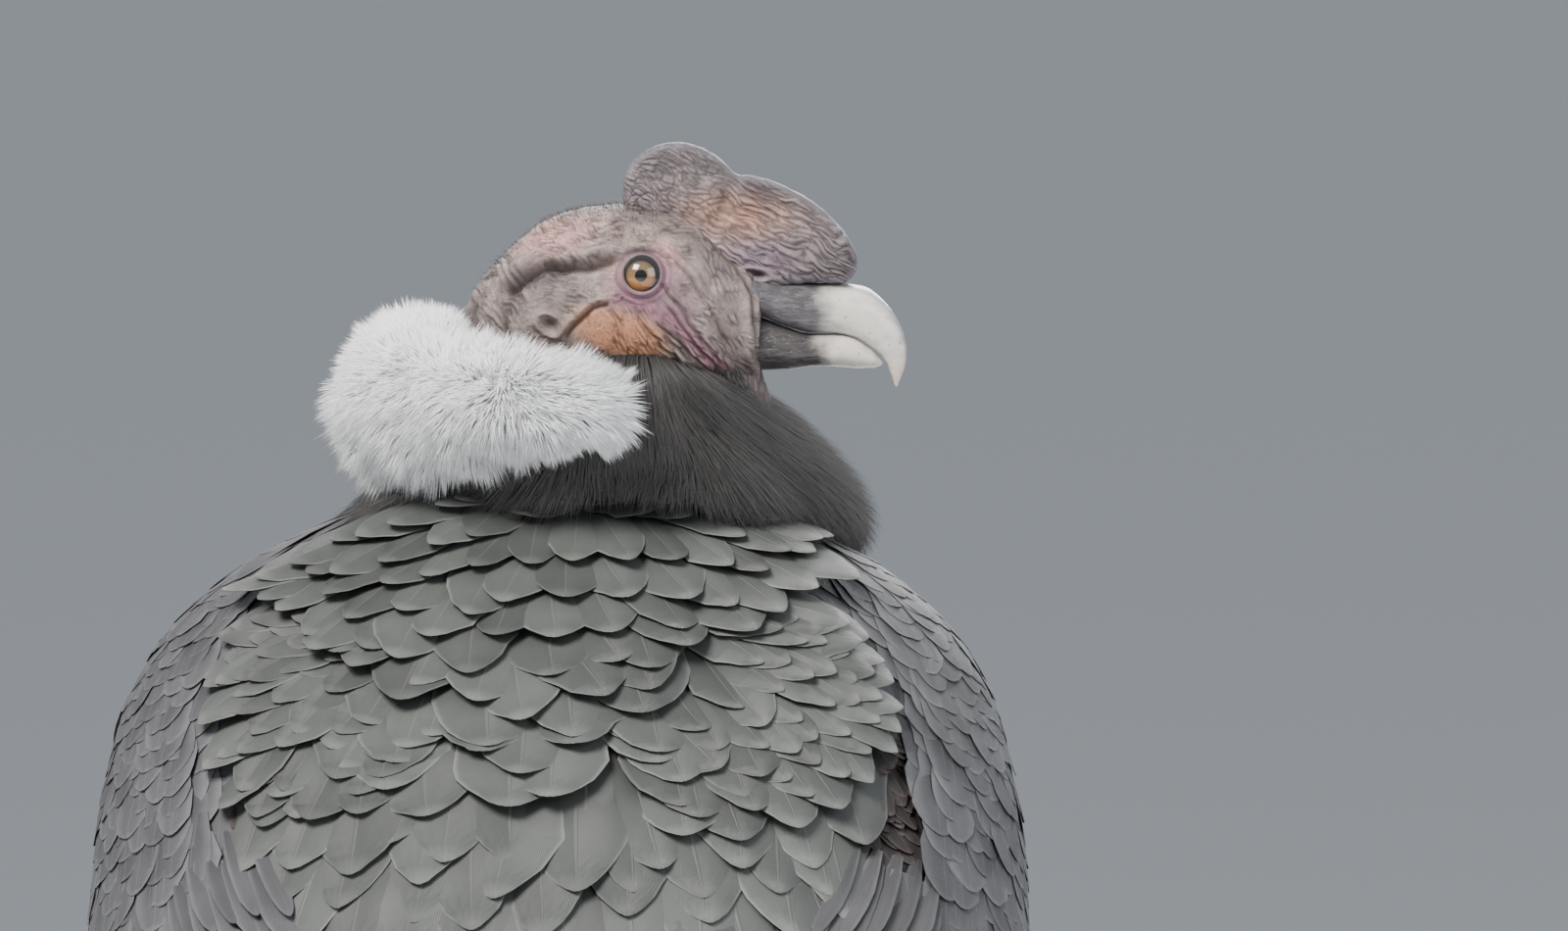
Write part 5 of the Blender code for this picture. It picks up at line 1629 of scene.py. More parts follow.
@dataclass
class FoldedWing:
    """One folded wing: arm, small coverts, white panel, and flight feathers."""

    side: Side
    covert_rows: tuple[float, float, float, float] = (-0.030, 0.305, 0.0066, 0.0130)
    covert_sizes: tuple[tuple[float, float, float], ...] = (
        (-0.03, 0.0105, 0.022), (0.10, 0.0125, 0.028), (0.22, 0.0165, 0.042), (0.32, 0.0200, 0.052),
    )
    open_span: tuple[float, float] = (0.108, 0.192)
    open_within: float = 52.0
    recess_count: int = 180
    recess_span: tuple[float, float] = (0.080, 0.205)
    recess_across: tuple[float, float] = (-9, 12)
    recess_length: float = 0.030
    recess_width: tuple[float, float] = (0.011, 0.017)
    corner_lanes: int = 10
    corner_rows: int = 5
    corner_at: float = 0.197
    corner_step: float = 0.020
    lane_step: float = 1.8
    corner_length: float = 0.048
    corner_width: tuple[float, float] = (0.0076, 0.0092)
    corner_roll: float = 0.52
    tier_wide: float = 1.35
    tier_roll: float = 0.09
    tier_step: float = 0.0008
    seed: int = 31
    surface = BodySurface(DRESSED)
    edge = Track(MANTLE_EDGE)
    back = Track(WING_BACK)
    front = Track(WING_FRONT)
    deep = Track(WING_DEEP)
    sink = Track(WING_SINK)

    def arm_skin(self, s: Array, across: Array, inside: bool) -> Array:
        """Places on the wing's arm.

        Args:
            s: Places down the axis, as a column.
            across: Shares of the way from the wing's back edge to its front edge.
            inside: True for the side that lies against the body.

        Returns:
            Rows by points by three.
        """
        degrees = blend(self.back(s[:, 0]), self.front(s[:, 0]), across)
        deep = self.deep(s[:, 0])
        near = smooth(0.0, 1.0, (self.edge(s[:, 0]) + 24 - degrees) / 10)
        fade = np.clip((0.47 - s) / 0.06, 0.0, 1.0)
        lower = smooth(0.28, 0.40, s)
        sunk = self.sink(s[:, 0]) * (0.30 + 0.70 * lower) + 0.0090 * near * fade + 0.0036 + 0.0009 * lower
        rim = np.maximum(0.0, (across - 0.80) / 0.20)
        rounded = np.minimum(0.020, deep * 0.45) * (1 - np.sqrt(np.maximum(0.0, 1 - rim ** 2)))
        out = -np.maximum(deep + sunk - rounded - 0.004, 0.006) if inside else -sunk - rounded
        return self.surface.points(s, degrees * self.side.value, out)

    def build_arm(self) -> None:
        """The arm of the wing, under all its feathers."""
        s = np.linspace(-0.026, 0.530, 90)[:, None]
        top = self.arm_skin(s, np.linspace(0, 1, 60), False)
        low = self.arm_skin(s, np.linspace(1, 0, 30), True)
        piece = Piece(f"wing_arm_{self.side.word}").skin(np.concatenate((top, low), axis=1))
        piece.make(UNDER_WING, [f"wing_{self.side.word}"])

    def build_coverts(self) -> None:
        """The small scale-like feathers of the shoulder, larger towards the flight feathers."""
        rng = np.random.default_rng(self.seed + self.side.value)
        sizes = Track(self.covert_sizes)
        laid = rows_of_vanes(
            spaced(*self.covert_rows), lambda s: float(sizes(s)[1]), lambda s: float(sizes(s)[0]),
            lambda s: (float(self.edge.first(s)) - (6 if s > 0.05 else 12), float(self.front.first(s)) + 2),
            lambda s: float(self.surface.track.first(s)) * 0.97, rng, lambda v: v * 0.985 + 1.0, 0.22,
        )
        start, stop = self.open_span
        open_to = (laid[2] > start) & (laid[2] < stop) & (laid[3] < self.open_within)
        open_to &= self.side is Side.RIGHT
        u0, v0, u1, v1, gap = (a[~open_to] for a in laid)
        count = len(u0)
        past = np.clip((v1 - (self.front.first(u1) - 12)) / 14, 0, 1) ** 2
        hidden = np.clip((self.edge.first(u1) + 6 - v1) / 12, 0, 1)
        lay = Layout(
            np.maximum(u0, -0.040), v0 * self.side.value, u1, v1 * self.side.value,
            gap * 1.50 * rng.uniform(0.88, 1.14, count), -0.0019 - 0.010 * past - 0.008 * hidden,
            rng.normal(0, 0.00025, count) - 0.012 * past - 0.007 * hidden, rng.normal(0, 0.04, count),
        )
        piece = Piece(f"wing_coverts_{self.side.word}").vanes(self.surface, lay, COVERT_VANE, rng)
        piece.make(COVERT_FEATHER)

    def build_gap_shade(self) -> None:
        """Dark short feathers between cape and wing: painted shade that stands in for the shade in the gap
        there.
        """
        rng = np.random.default_rng(self.seed + 9 + self.side.value)
        count = self.recess_count
        s = np.sort(rng.uniform(*self.recess_span, count))
        v = self.edge.first(s) + rng.uniform(*self.recess_across, count)
        lay = Layout(
            s - self.recess_length, (v - 5) * self.side.value, s, v * self.side.value,
            rng.uniform(*self.recess_width, count), -0.0125, -0.0052 + rng.normal(0, 0.0008, count),
            rng.normal(0, 0.15, count),
        )
        piece = Piece(f"wing_recess_{self.side.word}").vanes(self.surface, lay, COVERT_VANE, rng)
        piece.make(GAP_SHADE_FEATHER)

    def build_corner(self) -> None:
        """Narrow feathers that lie side by side where the cape's lower edge meets the wing."""
        rng = np.random.default_rng(self.seed + 17 + self.side.value)
        row, lane = np.divmod(np.arange(self.corner_rows * self.corner_lanes), self.corner_lanes)
        count = len(lane)
        s1 = self.corner_at + 0.003 * self.side.value + self.corner_step * (row + lane % 2 / 2)
        s1 = s1 + rng.normal(0, 0.002, count)
        v1 = self.edge.first(s1) - 9.0 + self.lane_step * lane + rng.normal(0, 0.3, count)
        lay = Layout(
            s1 - self.corner_length, (v1 + 8) * self.side.value, s1, v1 * self.side.value,
            rng.uniform(*self.corner_width, count), -0.0045,
            0.0026 + 0.0002 * lane + rng.normal(0, 0.0004, count),
            rng.normal(0, 0.05, count) - self.corner_roll * self.side.value,
        )
        piece = Piece(f"wing_corner_{self.side.word}").vanes(self.surface, lay, NARROW_VANE, rng)
        piece.make(COVERT_FEATHER)

    def build_flight(self) -> None:
        """The greater coverts and secondaries with their white panel, and the black primaries."""
        rng = np.random.default_rng(self.seed + 5 + self.side.value)
        for tier in WING_TIERS:
            share = np.linspace(0, 1, tier.count)[:, None]
            s0, v0, s1, v1 = blend(np.array(tier.first), np.array(tier.last), share).T
            step = np.arange(tier.count) % 2 * self.tier_step
            lay = Layout(
                s0, v0 * self.side.value, s1 + rng.normal(0, 0.0025, tier.count), v1 * self.side.value,
                tier.width * self.tier_wide * rng.uniform(0.96, 1.05, tier.count),
                step - tier.root_depth, step - tier.tip_depth + 0.0010, self.tier_roll * self.side.value,
            )
            piece = Piece(f"wing_{tier.name}_{self.side.word}").vanes(self.surface, lay, LONG_VANE, rng)
            piece.make(tier.finish)


@dataclass
class Tail:
    """The square tail fan with the coverts over its roots.

    Coverts has the tips' place, the height and the count of each row, and root has the place, half width and
    half depth at each station.
    """

    count: int = 12
    ends: tuple[float, float] = (0.495, 0.838)
    gaps: tuple[float, float] = (0.0042, 0.0104)
    width: float = 0.044
    step: float = 0.0022
    coverts: tuple[tuple[float, float, int], ...] = (
        (0.655, 0.0115, 6), (0.615, 0.0135, 5), (0.575, 0.0155, 5),
    )
    covert_gaps: tuple[float, float] = (0.008, 0.0125)
    covert_length: float = 0.120
    covert_width: float = 0.030
    root: tuple[tuple[float, float, float], ...] = (
        (0.43, 0.034, 0.018), (0.48, 0.036, 0.015), (0.52, 0.034, 0.011), (0.56, 0.024, 0.005),
    )
    seed: int = 41
    surface = BodySurface(DRESSED)

    def build(self) -> None:
        """Feathers and coverts as one piece, and the root under them."""
        rng = np.random.default_rng(self.seed)
        piece = Piece("tail_feathers")
        for place in np.arange(self.count) - (self.count - 1) / 2:
            down = 0.006 - (abs(place) - 0.5) * self.step + math.copysign(self.step / 4, place)
            tip = self.ends[1] - 0.004 * abs(place) + rng.normal(0, 0.002)
            self.add_feather(piece, place, (self.ends[0], tip), self.gaps, self.width, (down, down), rng)
        for tip, high, count in self.coverts:
            for place in np.arange(count) - (count - 1) / 2:
                end = tip - 0.006 * abs(place) + rng.normal(0, 0.003)
                ends, heights = (end - self.covert_length, end), (high, high - 0.001)
                self.add_feather(piece, place, ends, self.covert_gaps, self.covert_width, heights, rng)
        piece.make(TAIL_FEATHER, ["tail"])
        s = np.linspace(self.root[0][0], self.root[-1][0], 24)
        stations, *sizes = np.array(self.root).T
        wide, thick = (np.interp(s, stations, size)[:, None] for size in sizes)
        angle = np.radians(turns(32))
        middle, to_back = self.surface.spine(s)
        points = middle[:, None] + xyz(wide * np.cos(angle), 0.0, 0.0)
        points = points + to_back[:, None] * (thick * np.sin(angle))[..., None]
        Piece("tail_root").skin(points).make(UNDER_BLACK)

    def add_feather(self, piece: Piece, place: float, ends: tuple[float, float], gaps: tuple[float, float],
                    width: float, heights: tuple[float, float], rng: np.random.Generator) -> None:
        """Adds one straight feather of the fan.

        Args:
            piece: What it is added to.
            place: Which feather it is, counted from the middle.
            ends: Where it starts and ends along the body's axis.
            gaps: The steps sideways from one root to the next and from one tip to the next.
            width: How wide it is.
            heights: How high its root and its tip are over the axis.
            rng: Draws its small differences.
        """
        lay = Layout(0.0, place * gaps[0], 1.0, place * gaps[1], width, *heights, 0.04)
        piece.vanes(TailPlane(*ends, self.surface), lay, LONG_VANE, rng)


@dataclass(frozen=True)
class Toe:
    """One toe: degrees from straight ahead, length without its claw, and radius at its root and its claw."""

    name: str
    turn: float
    length: float
    root: float
    end: float


TOES = (
    Toe("inner", 28, 0.070, 0.0105, 0.0080), Toe("middle", -2, 0.105, 0.0115, 0.0080),
    Toe("outer", -32, 0.074, 0.0105, 0.0078), Toe("hind", 176, 0.042, 0.0090, 0.0070),
)


def plates(place: Array) -> Array:
    """The grooves between cross plates of one unit's length: 1 in a groove and 0 in the middle of a plate."""
    return (np.abs((place % 1.0) - 0.5) * 2) ** 6


@dataclass
class Leg:
    """One feathered thigh with its bare shank, foot and claws."""

    side: Side
    thigh: tuple[tuple[float, float, float, float], ...] = (
        (0.058, 0.062, 0.485, 0.026), (0.062, 0.064, 0.455, 0.050), (0.068, 0.056, 0.380, 0.061),
        (0.076, 0.028, 0.290, 0.048), (0.083, 0.006, 0.220, 0.033), (0.088, -0.004, 0.166, 0.021),
    )
    shank: tuple[tuple[float, float, float, float], ...] = (
        (0.087, -0.004, 0.185, 0.0140), (0.088, -0.006, 0.162, 0.0145), (0.088, -0.007, 0.145, 0.0150),
        (0.089, 0.002, 0.100, 0.0110), (0.090, 0.012, 0.055, 0.0110), (0.091, 0.020, 0.026, 0.0140),
        (0.091, 0.022, 0.012, 0.0165),
    )
    shank_end: float = 5.85
    feather_width: float = 0.0225
    feather_gap: float = 0.0140
    feather_length: float = 0.72
    foot_at: tuple[float, float] = (0.091, 0.022)
    hub_high: float = 0.021
    claw_long: float = 0.021
    claw_root: float = 0.002
    seed: int = 51

    def build_thigh(self) -> None:
        """The thigh and its black feathers."""
        rng = np.random.default_rng(self.seed + self.side.value)
        surface = TubeSurface(self.thigh, self.side)
        word = self.side.word
        skin = surface.points(np.linspace(0, surface.length, 60)[:, None], turns(48), -0.004)
        Piece(f"thigh_skin_{word}").skin(skin).make(UNDER_BLACK, [f"thigh_{word}"])
        found = []
        for number, tip in enumerate(np.arange(0.45, 5.12, 0.155)):
            radius = float(surface.track(min(tip, surface.length))[3])
            count = max(7, int(FULL_TURN * radius / self.feather_gap))
            v = (np.arange(count) + 0.5 * (number % 2)) * 360 / count + rng.normal(0, 3, count)
            found.append((tip + rng.normal(0, 0.03, count), v))
        u1, v1 = np.concatenate(found, axis=1)
        count = len(u1)
        tip_lift = 0.0035 + rng.normal(0, 0.0006, count)
        lay = Layout(
            np.maximum(u1 - self.feather_length, 0.0), v1, np.minimum(u1, 5.1), v1,
            self.feather_width * rng.uniform(0.85, 1.1, count), -0.0045, tip_lift, rng.normal(0, 0.06, count),
        )
        Piece(f"thigh_feathers_{word}").vanes(surface, lay, SMALL_VANE, rng).make(BODY_FEATHER)

    def build_shank(self) -> None:
        """The scaled shank and the joint above the foot."""
        surface = TubeSurface(self.shank, self.side)
        u, turn = np.linspace(0, self.shank_end, 220)[:, None], turns(72)
        front = bell((turn + 90) % 360 - 180, 0.0, 62.0)
        back = bell((turn - 90) % 360 - 180, 0.0, 70.0)
        net = creases(xyz(u * 9, turn * 0.16, 0.0), 5)
        groove = front * plates(u * 5.2) * 0.00120 + (1 - front) * (1 - net) * 0.0009
        points = surface.points(u, turn, back * smooth(4.6, 5.6, u) * 0.001 - groove)
        word = self.side.word
        Piece(f"shank_scales_{word}").skin(points).make(LEG_SCALES, [f"shank_{word}"])

    def toe_path(self, toe: Toe, ahead: Array) -> tuple[Array, Array, Array]:
        """The line of a toe with its radii and the cuts between its plates.

        Args:
            toe: The toe.
            ahead: The way that it points.

        Returns:
            The points, the radii and what is added to the radii on the upper side.
        """
        t = np.linspace(0, 1, 70)
        thick = blend(toe.root, toe.end, t)
        place = np.array((*self.foot_at, 0.0)) + ahead * toe.length * t[:, None]
        place[:, 2] = thick * 0.80 + 0.008 * np.maximum(0.0, 1 - 4 * t)
        return place, thick * (1.0 + 0.10 * np.cos(4 * FULL_TURN * t)), -0.0010 * plates(t * 13)

    def tube(self, path: Array, radii: Array, sides: int, cuts: Array | float = 0.0) -> Array:
        """Rings round a path, lifted to the floor.

        Args:
            path: The middle line.
            radii: The radius at each of its points.
            sides: How many points go round.
            cuts: What is added to the radius on the upper side.

        Returns:
            Rings by points by three, on this leg's side.
        """
        ahead = unit(np.gradient(path, axis=0))
        across = unit(np.cross(ahead, np.array((0.0, 0.0, 1.0))))
        up = np.cross(across, ahead)
        angle = (np.arange(sides) + 0.5) * FULL_TURN / sides
        reach = radii[:, None] + np.atleast_1d(cuts)[:, None] * np.maximum(np.sin(angle), 0) ** 0.5
        points = path[:, None] + across[:, None] * (np.cos(angle) * reach)[..., None]
        points = points + up[:, None] * (np.sin(angle) * reach)[..., None]
        points[..., 2] = np.maximum(points[..., 2], 0.0)
        points[..., 0] *= self.side.value
        return points

    def build_foot(self) -> None:
        """The toes with their plates and pads, and the blunt claws."""
        word = self.side.word
        foot = Piece(f"foot_scales_{word}")
        claws = Piece(f"claws_{word}")
        t = np.linspace(0, 1, 24)
        for toe in TOES:
            turn = math.radians(toe.turn)
            ahead = np.array((-math.sin(turn), math.cos(turn), 0.0))
            path, radii, cuts = self.toe_path(toe, ahead)
            foot.skin(self.tube(path, radii, 32, cuts))
            end = path[-1] - ahead * self.claw_root
            claw = end + ahead * (self.claw_long + self.claw_root) * t[:, None]
            claw[:, 2] = end[2] * (1 - 0.72 * t * t) + 0.003 * np.sin(math.pi * np.minimum(t * 1.1, 1.0))
            claws.skin(self.tube(claw, toe.end * 0.80 * (1 - t) ** 0.85 + 0.0008, 20))
        z = np.linspace(0.0, self.hub_high, 16)[:, None]
        angle = np.radians(turns(40))
        wide = 0.0178 - 0.0035 * (z / self.hub_high) ** 2 - 0.003 * np.exp(-z / 0.002)
        x, y = self.foot_at
        foot.skin(xyz((x + wide * np.cos(angle)) * self.side.value, y + wide * np.sin(angle), z))
        foot.make(LEG_SCALES, [f"foot_{word}"])
        claws.make(CLAW_HORN, [f"claw_{toe.name}_{word}" for toe in TOES])


@dataclass(frozen=True)
class Fold:
    """A fold of the head's skin, in millimetres: its height and width, the groove below it, and its line."""

    tall: float
    wide: float
    groove: float
    line: tuple[tuple[float, float], ...]


FOLDS = (
    Fold(4.2, 2.6, 3.6, (
        (-58.5, -7.0), (-53, -3.2), (-47.5, 1.6), (-43, 3.8), (-39, 6.4), (-33, 5.2), (-27, 6.6),
        (-21.7, 6.0), (-17, 7.8), (-12, 8.8), (-4, 10.6),
    )),
    Fold(1.8, 1.6, 1.9, ((-33.4, -24), (-28, -17.6), (-20, -10.6), (-12, -8))),
    Fold(1.0, 1.2, 0.7, ((7.6, -0.4), (15.6, -11), (25.5, -24.7), (36, -39))),
    Fold(0.9, 1.1, 0.6, ((9, -9), (17, -19), (28, -33), (34, -42))),
    Fold(0.8, 1.0, 0.6, ((6.1, -15.6), (16, -26), (27.5, -38.5))),
    Fold(0.8, 1.0, 0.6, ((2.3, -17.5), (9, -27), (18, -37))),
    Fold(1.7, 1.9, 1.3, ((45, -41), (42.6, -30), (41.4, -20), (41.0, -10), (38.5, -3), (33, 2.9), (23, 12))),
    Fold(0.9, 1.4, 0.9, ((-9, 9.5), (0, 12.2), (9, 9.6), (15, 3.5))),
    Fold(0.9, 1.3, 0.8, ((12, 9), (22, -2), (31, -16), (37, -31))),
)
# Coloured patches of the head's skin: strength, x and z of the middle, half length, half height and tilt.
SKIN_SPOTS = {
    "orange": ((1.0, -14, -21, 14, 9, -18), (1.0, -1, -25, 13, 9.5, -28)),
    "pink": (
        (0.80, -36, 13, 15, 8, 10), (0.3, -18, 20, 16, 7, 0), (0.9, 10, 8, 8, 4.5, -45),
        (0.5, -11, -2, 5, 9, 0),
    ),
    "purple": ((0.50, 14, -6, 9, 14, 30),),
    "dark": (
        # The second and third dark spots are painted shade in the hollow under the brow fold.
        (0.62, 30, 6, 18, 7, -42), (0.45, -34, -8, 16, 9, 0), (0.65, -38, 0, 15, 4.5, 14),
        (0.5, -52, -16, 9, 8, 0), (0.75, 42, -38, 8, 10, 0), (0.35, 34, -18, 10, 12, 0),
    ),
}
# The band that runs from the eye to the corner of the jaw: x and z.
CHEEK_BAND = ((-9, -10), (3, -13), (14, -20), (27, -33), (36, -42))


@dataclass
class HeadSkin:
    """The bare head: folds, wrinkles, lids and ears on one dense skin."""

    nape: tuple[float, float] = (-70.0, -63.0)
    nape_rings: int = 26
    face_end: float = 46.4
    rings: int = 238
    around: int = 370
    ear_at: tuple[float, float] = (-35.7, -19.5)
    ear_size: tuple[float, float] = (5.6, 3.7)
    ear_tilt: float = -28.0
    surface = SkullSurface()

    def relief(self, x: Array, y: Array, z: Array) -> tuple[Array, Array]:
        """How far the skin is raised, and how much shade is painted in its creases.

        Args:
            x: Millimetres ahead of the eyes.
            y: Millimetres left of the middle.
            z: Millimetres above the eyes.

        Returns:
            The height in millimetres, and the painted shade of the creases from 0 to 1.
        """
        place = xyz(x, y, z)
        high = np.zeros_like(x)
        # The second value is painted shade: darker below the folds, in the lid groove, in the ear and in the
        # wrinkles.
        crease = np.zeros_like(x)
        wobble = noise(place / 7, 3) * 1.1
        for fold in FOLDS:
            gap, side, passed = near_line(x + wobble * 0.6, z + wobble, fold.line)
            ends = smooth(0.0, 0.12, passed) * smooth(1.0, 0.86, passed)
            hollow = bell(gap * side, fold.wide * 1.55, fold.wide * 0.62) * ends
            high += fold.tall * bell(gap, 0.0, fold.wide) * ends - fold.groove * hollow
            crease = np.maximum(crease, hollow * 0.9)
        far = np.hypot(x, z * 1.04)
        high += 1.9 * bell(far, 7.7, 1.05) + 0.55 * bell(far, 10.9, 0.8)
        crease = np.maximum(crease, 0.8 * bell(far, 9.6, 0.5))
        along, across = turned(x - self.ear_at[0], z - self.ear_at[1], self.ear_tilt)
        ring = np.hypot(along / self.ear_size[0], across / self.ear_size[1])
        high += 2.0 * bell(ring, 1.05, 0.30) - 2.6 * bell(ring, 0.0, 0.62)
        crease = np.maximum(crease, bell(ring, 0.0, 0.6))
        calm = smooth(8.5, 12.0, far) * (1 - 0.8 * bell(ring, 0.0, 1.5))
        for weight, angle, fine, seed in self.zones(x, z):
            run, cut = turned(x, z, angle)
            cut = cut + 2.2 * noise(place / (9, 12, 9), seed + 9)
            run = run + 2.0 * noise(place / (5, 9, 5), seed + 2)
            lines = creases(xyz(run / (fine * 5.0), y / 30, cut / fine), seed)
            small = creases(xyz(run / (fine * 1.5), y / 20, cut / (fine * 0.55)), seed + 4)
            some = 0.5 + 0.5 * noise(place / (4.5, 9, 4.5), seed + 3)
            lines = 1 - (1 - lines) * smooth(0.15, 0.75, some)
            small = 1 - (1 - small) * smooth(0.85, 0.25, some)
            high += weight * calm * fine * (0.30 * (lines - 0.7) + 0.10 * (small - 0.7))
            crease = np.maximum(crease, weight * calm * ((1 - lines) * 0.62 + (1 - small) * 0.22))
        return high, np.clip(crease, 0, 1)

    def zones(self, x: Array, z: Array) -> list[tuple[Array, float, float, int]]:
        """The zones of wrinkles.

        Args:
            x: Millimetres ahead of the eyes.
            z: Millimetres above the eyes.

        Returns:
            For each zone its weights, the way its lines run in degrees, their spacing and a seed.
        """
        nape = smooth(-40.0, -50.0, x) * smooth(16, 2, z)
        cheek = smooth(14.0, 6.0, x) * smooth(-26.0, -18.0, x) * smooth(-9.0, -15.0, z)
        band = smooth(2.0, 10.0, x) * smooth(-4.0, -12.0, z) * smooth(44, 38, x)
        front = smooth(18.0, 26.0, x) * smooth(-16.0, -4.0, z)
        crown = np.clip(1 - nape - cheek - band - front, 0.0, 1.0)
        return [
            (nape * 2.4, -54.0, 2.5, 11), (cheek * (1 - band) * 1.7, -56.0, 1.5, 12),
            (band * 1.9, -52.0, 1.6, 13), (front * 1.9, -60.0, 1.5, 14), (crown * 1.8, -6.0, 1.35, 15),
        ]

    def patches(self, x: Array, z: Array) -> dict[str, Array]:
        """Where the skin is orange, pink, purple and dark, the dark partly painted shade under the brow fold.

        Args:
            x: Millimetres ahead of the eyes.
            z: Millimetres above the eyes.

        Returns:
            Values from 0 to 1 by the colour's name.
        """
        far = np.hypot(x, z)
        band, _, _ = near_line(x, z, CHEEK_BAND)
        others = {
            "orange": 0.0,
            "pink": 0.8 * bell(band, 0.0, 2.6),
            "purple": 0.60 * bell(far, 9.0, 2.2) + 0.66 * bell(band, 0.0, 5.5),
            "dark": 0.75 * smooth(17, 26, z) * smooth(-20, 4, x) + 0.55 * bell(far, 7.6, 1.1)
            + 0.40 * smooth(-54, -66, x),
        }
        return {
            name: np.clip(others[name] + sum(strong * oval(x, z, *spot) for strong, *spot in spots), 0, 1)
            for name, spots in SKIN_SPOTS.items()
        }

    def build(self) -> None:
        """The skin of the head, the throat below it and the neck."""
        rear = np.linspace(*self.nape, self.nape_rings, endpoint=False)
        u = np.concatenate((rear, np.linspace(self.nape[1], self.face_end, self.rings)))[:, None]
        turn = turns(self.around)
        base = self.surface.points(u, turn)
        x, y, z = columns((base - EYE) / MM)
        high, crease = self.relief(x, y, z)
        high = high * (0.35 + 0.65 * smooth(0.10, 0.45, np.abs(np.sin(np.radians(turn)))))
        points = base + self.surface.normals(u, turn) * (high * MM)[..., None]
        piece = Piece("head_bare").skin(
            points, head_place(-71.5, 0, -28), head_place(47.6, 0, -21), self.surface.unwrap(u, turn),
            crease=crease, **self.patches(x, z),
        )
        piece.make(HEAD_SKIN, ["head", "ear_right", "ear_left"])
        self.build_throat()
        self.build_neck()

    def build_throat(self) -> None:
        """The loose skin from the chin down into the frill."""
        depth = np.linspace(26, 71, 110)[:, None]
        middle, long, wide = columns(Track(THROAT)(depth))
        angle = np.radians(turns(180))
        x, y = long * np.cos(angle), wide * np.sin(angle)
        lines = creases(xyz(middle + x, y, -depth) / (2.6, 2.6, 15), 71)
        reach = 1 + 0.9 * (lines - 0.6) / 14
        # Painted shade in the wrinkles of the throat.
        Piece("throat_bare").skin(
            head_place(middle + x * reach, y * reach, -depth), crease=(1 - lines) * 0.95, orange=0.0,
            pink=0.0, purple=0.25, dark=0.60 + 0.3 * smooth(38, 62, depth),
        ).make(HEAD_SKIN)

    def build_neck(self) -> None:
        """The bare neck under frill and ruff."""
        surface = TubeSurface(NECK)
        points = surface.points(np.linspace(0, surface.length, 60)[:, None], turns(72), -0.002)
        piece = Piece("neck_bare").skin(points, crease=0.0, orange=0.0, pink=0.0, purple=0.0, dark=0.6)
        piece.make(HEAD_SKIN, ["neck"])


